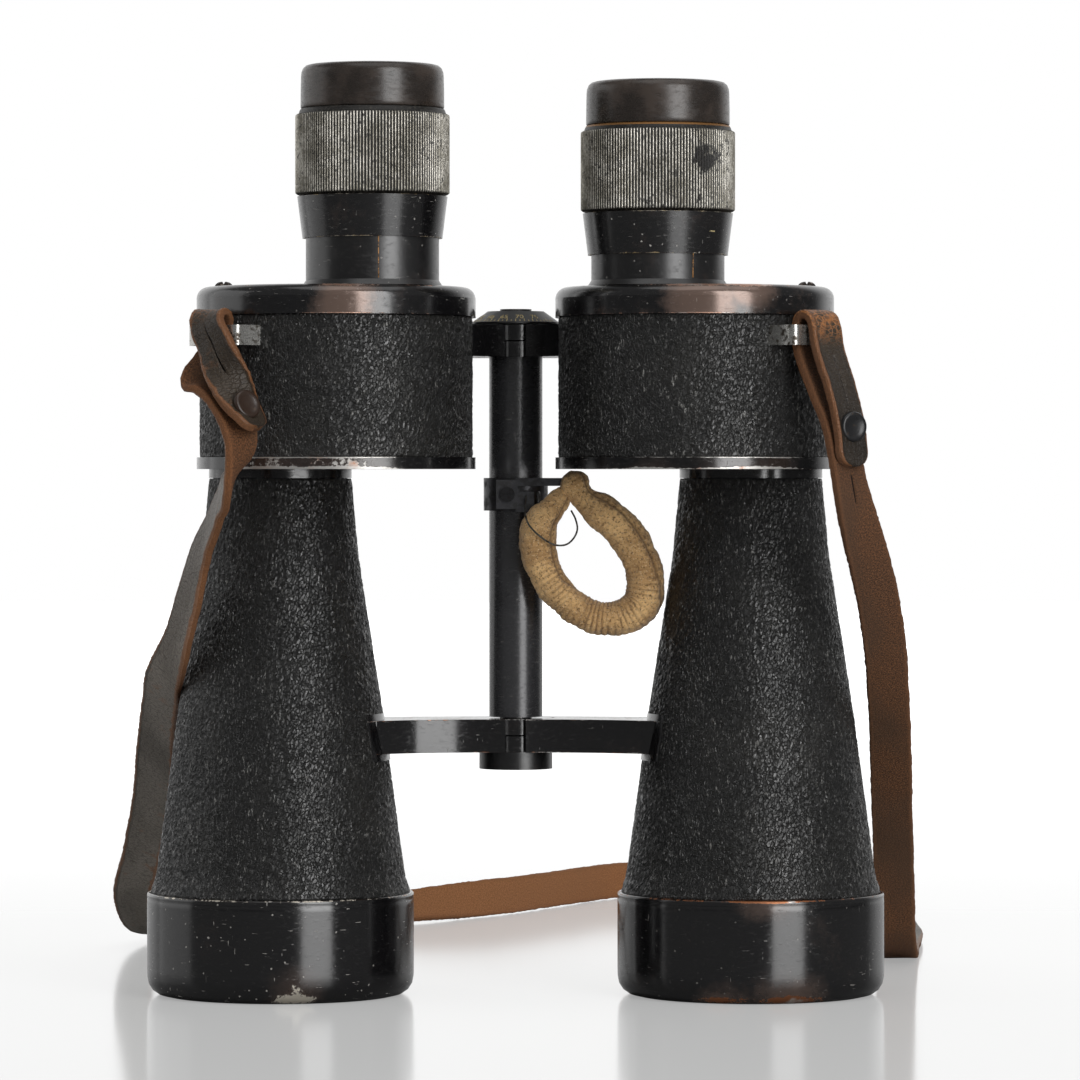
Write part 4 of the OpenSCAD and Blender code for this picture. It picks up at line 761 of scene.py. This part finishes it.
# The twist of wire between the clamp's ring and the knob, as points of its middle line in
# millimetres
wire_route = np.array([
    [2.4, 6.4, 112.6], [2.2, 4.8, 110.6], [2.2, 2.6, 108.4], [3, 0.7, 106], [4.8, 0.1, 104],
    [6.9, 0.2, 102.4], [9.2, 0.6, 101.4], [11.5, 1.2, 101.6], [13.1, 1.9, 103], [13.9, 2.6, 105],
    [13.5, 2.6, 107.2], [12.5, 2.4, 109.2]])
wire_r = 0.00021
steel = Finish("steel_wire", Metallic=0.9)
rust = steel.rise(steel.noise(steel.place(), 900, 3), 0.45, 0.65)
steel.set(Base_Color=steel.mix(rust, (0.1, 0.1, 0.095), (0.045, 0.028, 0.018)),
          Roughness=0.35 + rust * 0.4)
rows, _ = curve_through(wire_route * 1e-3, 0.0003)
points, _ = tube(rows, wire_r, 10, (0.2, 1, 0.1))
fit(surface("wire_tie", points), steel, "wire_steel", "right_half", "loop_wire")


# The plate screws. Three low round-headed steel screws hold each ocular plate down on its
# housing; their heads have browned and the slots are full of old polish.
plate_x, plate_y, plate_end, screw_ring_r, plate_top_z = 40.05, -2, 4, 25.5, 159.0
head_profile = np.array([
    [0.03, 1.15], [0.7, 1.12], [1.3, 0.95], [1.75, 0.62], [1.98, 0.25], [2.0, 0.0], [1.0, -0.05],
    [1.0, -6.0], [0.03, -6.2]]) * 1e-3
browned = Finish("browned_steel", Metallic=0.6)
bare = browned.rise(browned.noise(browned.place(), 1100, 3), 0.55, 0.66)
browned.set(Base_Color=browned.mix(bare, (0.03, 0.022, 0.018), (0.22, 0.18, 0.15)),
            Roughness=0.55 - bare * 0.2)
# Each screw's angle round the plate's front end (-1) or back end (1)
seats = np.array([(plate_x + screw_ring_r * math.cos(w),
                   plate_y + plate_end * end + screw_ring_r * math.sin(w), plate_top_z)
                  for end, w in zip((-1, 1, 1), np.radians([-14, 52, 128]))]) * 1e-3
slot_half_w, slot_from_z, slot_cut = 0.00032, 0.0003, 0.0006
head = turned(stepped(head_profile, 0.0002), 48)
slot = np.clip(1 - np.abs(head[..., 0]) / slot_half_w, 0, 1) * (head[..., 2] > slot_from_z)
head[..., 2] -= slot * slot_cut
for side, mirror in sides:
    heads = (head[None] + seats[:, None, None]) * [mirror, 1, 1]
    fit(surface(f"plate_screw_heads_{side}", heads), browned, "screw_steel",
        f"{side}_half", f"plate_screws_{side}")


# The scale on the hinge dial, the index lines on the sockets and the dash on the right dioptre
# ring. They were engraved and filled with cream and orange paint, of which little is left. The
# scale has plain numbers for the distance between the eyes.
hinge_y, dial_low_r, dial_low_z, dial_slope = 0.016, 0.0099, 0.1518, math.atan2(2.5, 3.5)
scale_r = dial_low_r - 0.0015
paint = Finish("scale_paint", Roughness=0.6)
flaked = paint.rise(paint.noise(paint.place(), 1800, 3, 0.7), 0.5, 0.6)
paint.set(Base_Color=paint.mix(flaked, (0.55, 0.44, 0.21), (0.11, 0.09, 0.05)))


def on_dial(flat):
    """Flat points (sideways, up, off the surface) laid on the dial's cone: sideways becomes an
    angle at the scale's radius, and up goes up the slope"""
    x, y, out = np.moveaxis(flat, -1, 0)
    r = dial_low_r - y * math.cos(dial_slope) + out * math.sin(dial_slope)
    z = dial_low_z + y * math.sin(dial_slope) + out * math.cos(dial_slope)
    return np.stack([r * np.sin(x / scale_r), hinge_y - r * np.cos(x / scale_r), z], axis=-1)


for number, degrees in zip(range(50, 80, 5), range(-90, 54, 24)):
    writing = bpy.data.curves.new("number", "FONT")
    writing.body, writing.align_x = str(number), "CENTER"
    writing.size, writing.extrude = 0.0019, 0.00003
    flat_text = bpy.data.objects.new("number", writing)
    link(flat_text)
    bpy.context.view_layer.update()
    evaluated = flat_text.evaluated_get(bpy.context.evaluated_depsgraph_get())
    mesh = bpy.data.meshes.new_from_object(evaluated)
    bpy.data.objects.remove(flat_text)
    flat = np.empty(len(mesh.vertices) * 3)
    mesh.vertices.foreach_get("co", flat)
    flat = flat.reshape(-1, 3) + [math.radians(degrees) * scale_r, 0.0013, 0.00002]
    mesh.vertices.foreach_set("co", on_dial(flat).ravel())
    mesh.materials.clear()
    figure = bpy.data.objects.new(f"dial_number_{number}", mesh)
    link(figure)
    fit(figure, paint, "dial_lacquer", "right_half")


def bars(centres, size):
    """Thin raised bars, each a box about its centre, as flat points (sideways, up, off the
    surface)"""
    corner = np.array([[-1, -1], [1, -1], [1, 1], [-1, 1]]) / 2
    steps = np.linspace(-0.5, 0.5, 9)
    return np.stack(np.broadcast_arrays(
        centres[:, None, None, 0] + corner[None, None, :, 0] * size[:, None, None, 0],
        centres[:, None, None, 1] + steps[None, :, None] * size[:, None, None, 1],
        0.00001 + corner[None, None, :, 1] * 0.00008), axis=-1)


def round_eyepiece(flat, degrees, r, mirror):
    """Flat points laid round an eyepiece's axis at the radius r, from `degrees` off the front"""
    angle, out = math.radians(degrees) + flat[..., 0] / r, r + flat[..., 2]
    x, y = out * np.sin(angle) + eyepiece_x, eyepiece_y - out * np.cos(angle)
    return np.stack([x, y, flat[..., 1]], axis=-1) * [mirror, 1, 1]


tick_angles = np.radians(np.arange(-84, 61, 6))
tick_size = np.where(np.arange(len(tick_angles)) % 2 == 0, 0.001, 0.0006)
tick_places = np.stack([tick_angles * scale_r, 0.00015 + tick_size / 2], axis=1)
tick_sizes = np.stack([np.full_like(tick_size, 0.00016), tick_size], axis=1)
fit(surface("dial_ticks", on_dial(bars(tick_places, tick_sizes))), paint, "dial_lacquer",
    "right_half")

orange = Finish("index_paint", Roughness=0.5)
gone = orange.rise(orange.noise(orange.place(), 1500, 3, 0.7), 0.5, 0.6)
orange.set(Base_Color=orange.mix(gone, (0.42, 0.2, 0.055), (0.06, 0.035, 0.018)))
socket_r, dioptre_r, line_foot_z, dash_z = 0.01476, 0.0161, 0.1604, 0.1707
for side, mirror, degrees, height in (("right", 1, 30.3, 0.0064), ("left", -1, -6.8, 0.0098)):
    upright = bars(np.array([[0.0, line_foot_z + height / 2]]), np.array([[0.00022, height]]))
    fit(surface(f"index_line_{side}", round_eyepiece(upright, degrees, socket_r, mirror)),
        orange, "black_lacquer", f"{side}_half")
level = bars(np.array([[0.0, dash_z]]), np.array([[0.0017, 0.00028]]))
fit(surface("dioptre_mark", round_eyepiece(level, 46.9, dioptre_r, 1)), paint,
    "black_lacquer", "right_focus")


# The bright and blackened fittings: the strap lugs riveted to the housings, the hinge pin, the
# clamp on the column with its screw and the loop's steel ring, all steel; the cells, retainers,
# barrels and shelves inside are blackened brass or spring steel.
def metal(name, clean, stained, metallic, rough, scale=420, low=0.45, high=0.62):
    """A metal whose stains come in patches, duller than the clean surface"""
    f = Finish(name, Metallic=metallic)
    at = f.place()
    patch = f.noise(at, scale, 4, 0.65)
    stain = f.rise(patch, low, high)
    fine = f.noise(at, scale * 5, 2)
    f.set(Base_Color=f.mix(stain, clean, stained), Normal=f.bump(fine * 0.4 + patch, 0.00005, 0.6),
          Roughness=rough + stain * 0.25 + (fine - 0.5) * 0.15)
    return f


dress(metal("worn_lug_steel", (0.62, 0.61, 0.58), (0.1, 0.085, 0.07), 0.9, 0.25, 620, 0.5, 0.62),
      *both("strap_lug"))
dress(metal("spindle_steel", (0.17, 0.165, 0.16), (0.085, 0.08, 0.075), 0.9, 0.35, 1300),
      "hinge_spindle")
dress(metal("clamp_metal", (0.07, 0.07, 0.075), (0.048, 0.047, 0.048), 0.75, 0.34), "clamp_collar")
dress(metal("clamp_screw_steel", (0.04, 0.04, 0.042), (0.02, 0.018, 0.018), 0.85, 0.3),
      "clamp_screw")
dress(metal("ring_steel", (0.07, 0.07, 0.068), (0.035, 0.028, 0.022), 0.8, 0.4), "loop_hook")
dress(metal("blackened_brass", (0.016, 0.015, 0.015), (0.05, 0.04, 0.025), 0.4, 0.5),
      *both("lens_cell", "lens_retainer", "eyepiece_barrel", "prism_shelf"))
dress(metal("spring_steel", (0.35, 0.35, 0.34), (0.12, 0.1, 0.08), 0.9, 0.3), *both("prism_clips"))


# The glasses. Polished crown and flint, uncoated but for a faint bluish bloom, and the two
# Porro prisms of each half, which turn the picture upright and shorten the body.
def glass(name, tint, haze):
    """Clear glass with a slight unevenness of polish"""
    f = Finish(name, Transmission_Weight=1.0, IOR=1.52)
    dust = f.noise(f.place(), 260, 3)
    f.set(Base_Color=f.mix(f.rise(dust, 0.4, 0.8) * 0.4, tint, (0.8, 0.8, 0.78)),
          Roughness=haze + f.rise(dust, 0.55, 0.8) * 0.05)
    return f


dress(glass("objective_glass", (0.9, 0.94, 0.97), 0.01), *both("objective_lens"))
ocular_glass = glass("eyepiece_glass", (0.92, 0.95, 0.96), 0.01)
dress(ocular_glass, *both("field_lens"))
dress(glass("prism_glass", (0.9, 0.95, 0.92), 0.03), *both("lower_prism", "upper_prism"))


# The eye lenses again, ground and polished smooth. Each is flat below and part of a sphere of
# radius R above, which at the distance r from the axis has fallen by R - (R^2 - r^2)^(1/2).
face_r, centre_r = 0.04, 0.00003
for side, _ in sides:
    low, high = (np.array(corner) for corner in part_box(f"eye_lens_{side}"))
    lens_r = (high[0] - low[0]) / 2
    r = np.linspace(centre_r, lens_r, 24)
    dome = np.stack([r, high[2] - (face_r - np.sqrt(face_r**2 - r**2))], axis=1)
    profile = np.vstack([[[centre_r, low[2]], [lens_r, low[2]]], dome[::-1]])
    points = turned(profile, 96) + [(low[0] + high[0]) / 2, (low[1] + high[1]) / 2, 0]
    fit(surface(f"eye_glass_{side}", points), ocular_glass, "eyepiece_glass",
        f"{side}_eyepiece", f"eye_lens_{side}")


# The floor and the light. A white glossy table that runs on to a white background, one tall
# soft box to the right of the camera, a weak one to the left, and even light from all round.
table_half = 4.0
table = Finish("white_table", Roughness=0.13, IOR=1.18)
unseen = table.mix(table.ray("Glossy"), (0.86, 0.87, 0.86), (0.2, 0.2, 0.2))
looked_at = table.ray("Camera")
table.set(Base_Color=table.mix(looked_at, unseen, (0.35, 0.355, 0.35)))
far_off = table.rise(table.away(table.place(), (0, 0, 0)), 0.25, 1.6)
lift = looked_at * (0.34 + far_off * 0.46)
table.set(Emission_Color=table.mix(lift, (0, 0, 0), (1, 1, 1)), Emission_Strength=1.0)
floor_mesh = bpy.data.meshes.new("floor")
floor_corners = (-1, -1, 0), (1, -1, 0), (1, 1, 0), (-1, 1, 0)
floor_mesh.from_pydata((np.array(floor_corners) * table_half).tolist(), [], [(0, 1, 2, 3)])
floor = bpy.data.objects.new("floor", floor_mesh)
floor_mesh.materials.append(table.material)
link(floor)


def soft_box(name, towards, distance, size, radiance, target=(0, 0, 0.1)):
    """A rectangular lamp that faces the target from the direction `towards`. Its power is pi
    times its area times `radiance`."""
    lamp = bpy.data.lights.new(name, "AREA")
    lamp.shape, lamp.size, lamp.size_y = "RECTANGLE", *size
    lamp.energy = math.pi * size[0] * size[1] * radiance
    box = bpy.data.objects.new(name, lamp)
    way = Vector(towards).normalized()
    box.location = Vector(target) + way * distance
    box.rotation_euler = way.to_track_quat("Z", "Y").to_euler()
    box.visible_camera = False
    link(box)


soft_box("key", (0.53, -0.85, 0.16), 1.4, (0.68, 1.6), 4.8)
soft_box("fill", (-0.97, 0.22, 0.12), 1.5, (1.2, 1.7), 0.75)
soft_box("overhead", (0.1, -0.25, 1.0), 1.5, (1.6, 1.2), 0.9)

world = bpy.data.worlds.new("studio")
world.use_nodes = True
bpy.context.scene.world = world


class Sky(Finish):
    """The world's nodes, made in the same way as a material's"""

    def __init__(self, world):
        self.tree = world.node_tree
        self.shader = self.tree.nodes["Background"]


sky = Sky(world)
direct = sky.ray("Camera").most(sky.ray("Transmission"))
mirrored = sky.ray("Glossy")
_, behind, height = sky.split(sky.make("TexCoord", out="Generated"))
backdrop = (0.015 + sky.rise(height, 0.0, 0.06) * 0.15).most(sky.rise(behind, 0.35, 0.8))
around = mirrored * backdrop + (1 - mirrored) * 0.36
sky.set(Color=(1, 1, 1), Strength=direct + (1 - direct) * around)
bpy.context.scene.view_settings.view_transform = "Standard"
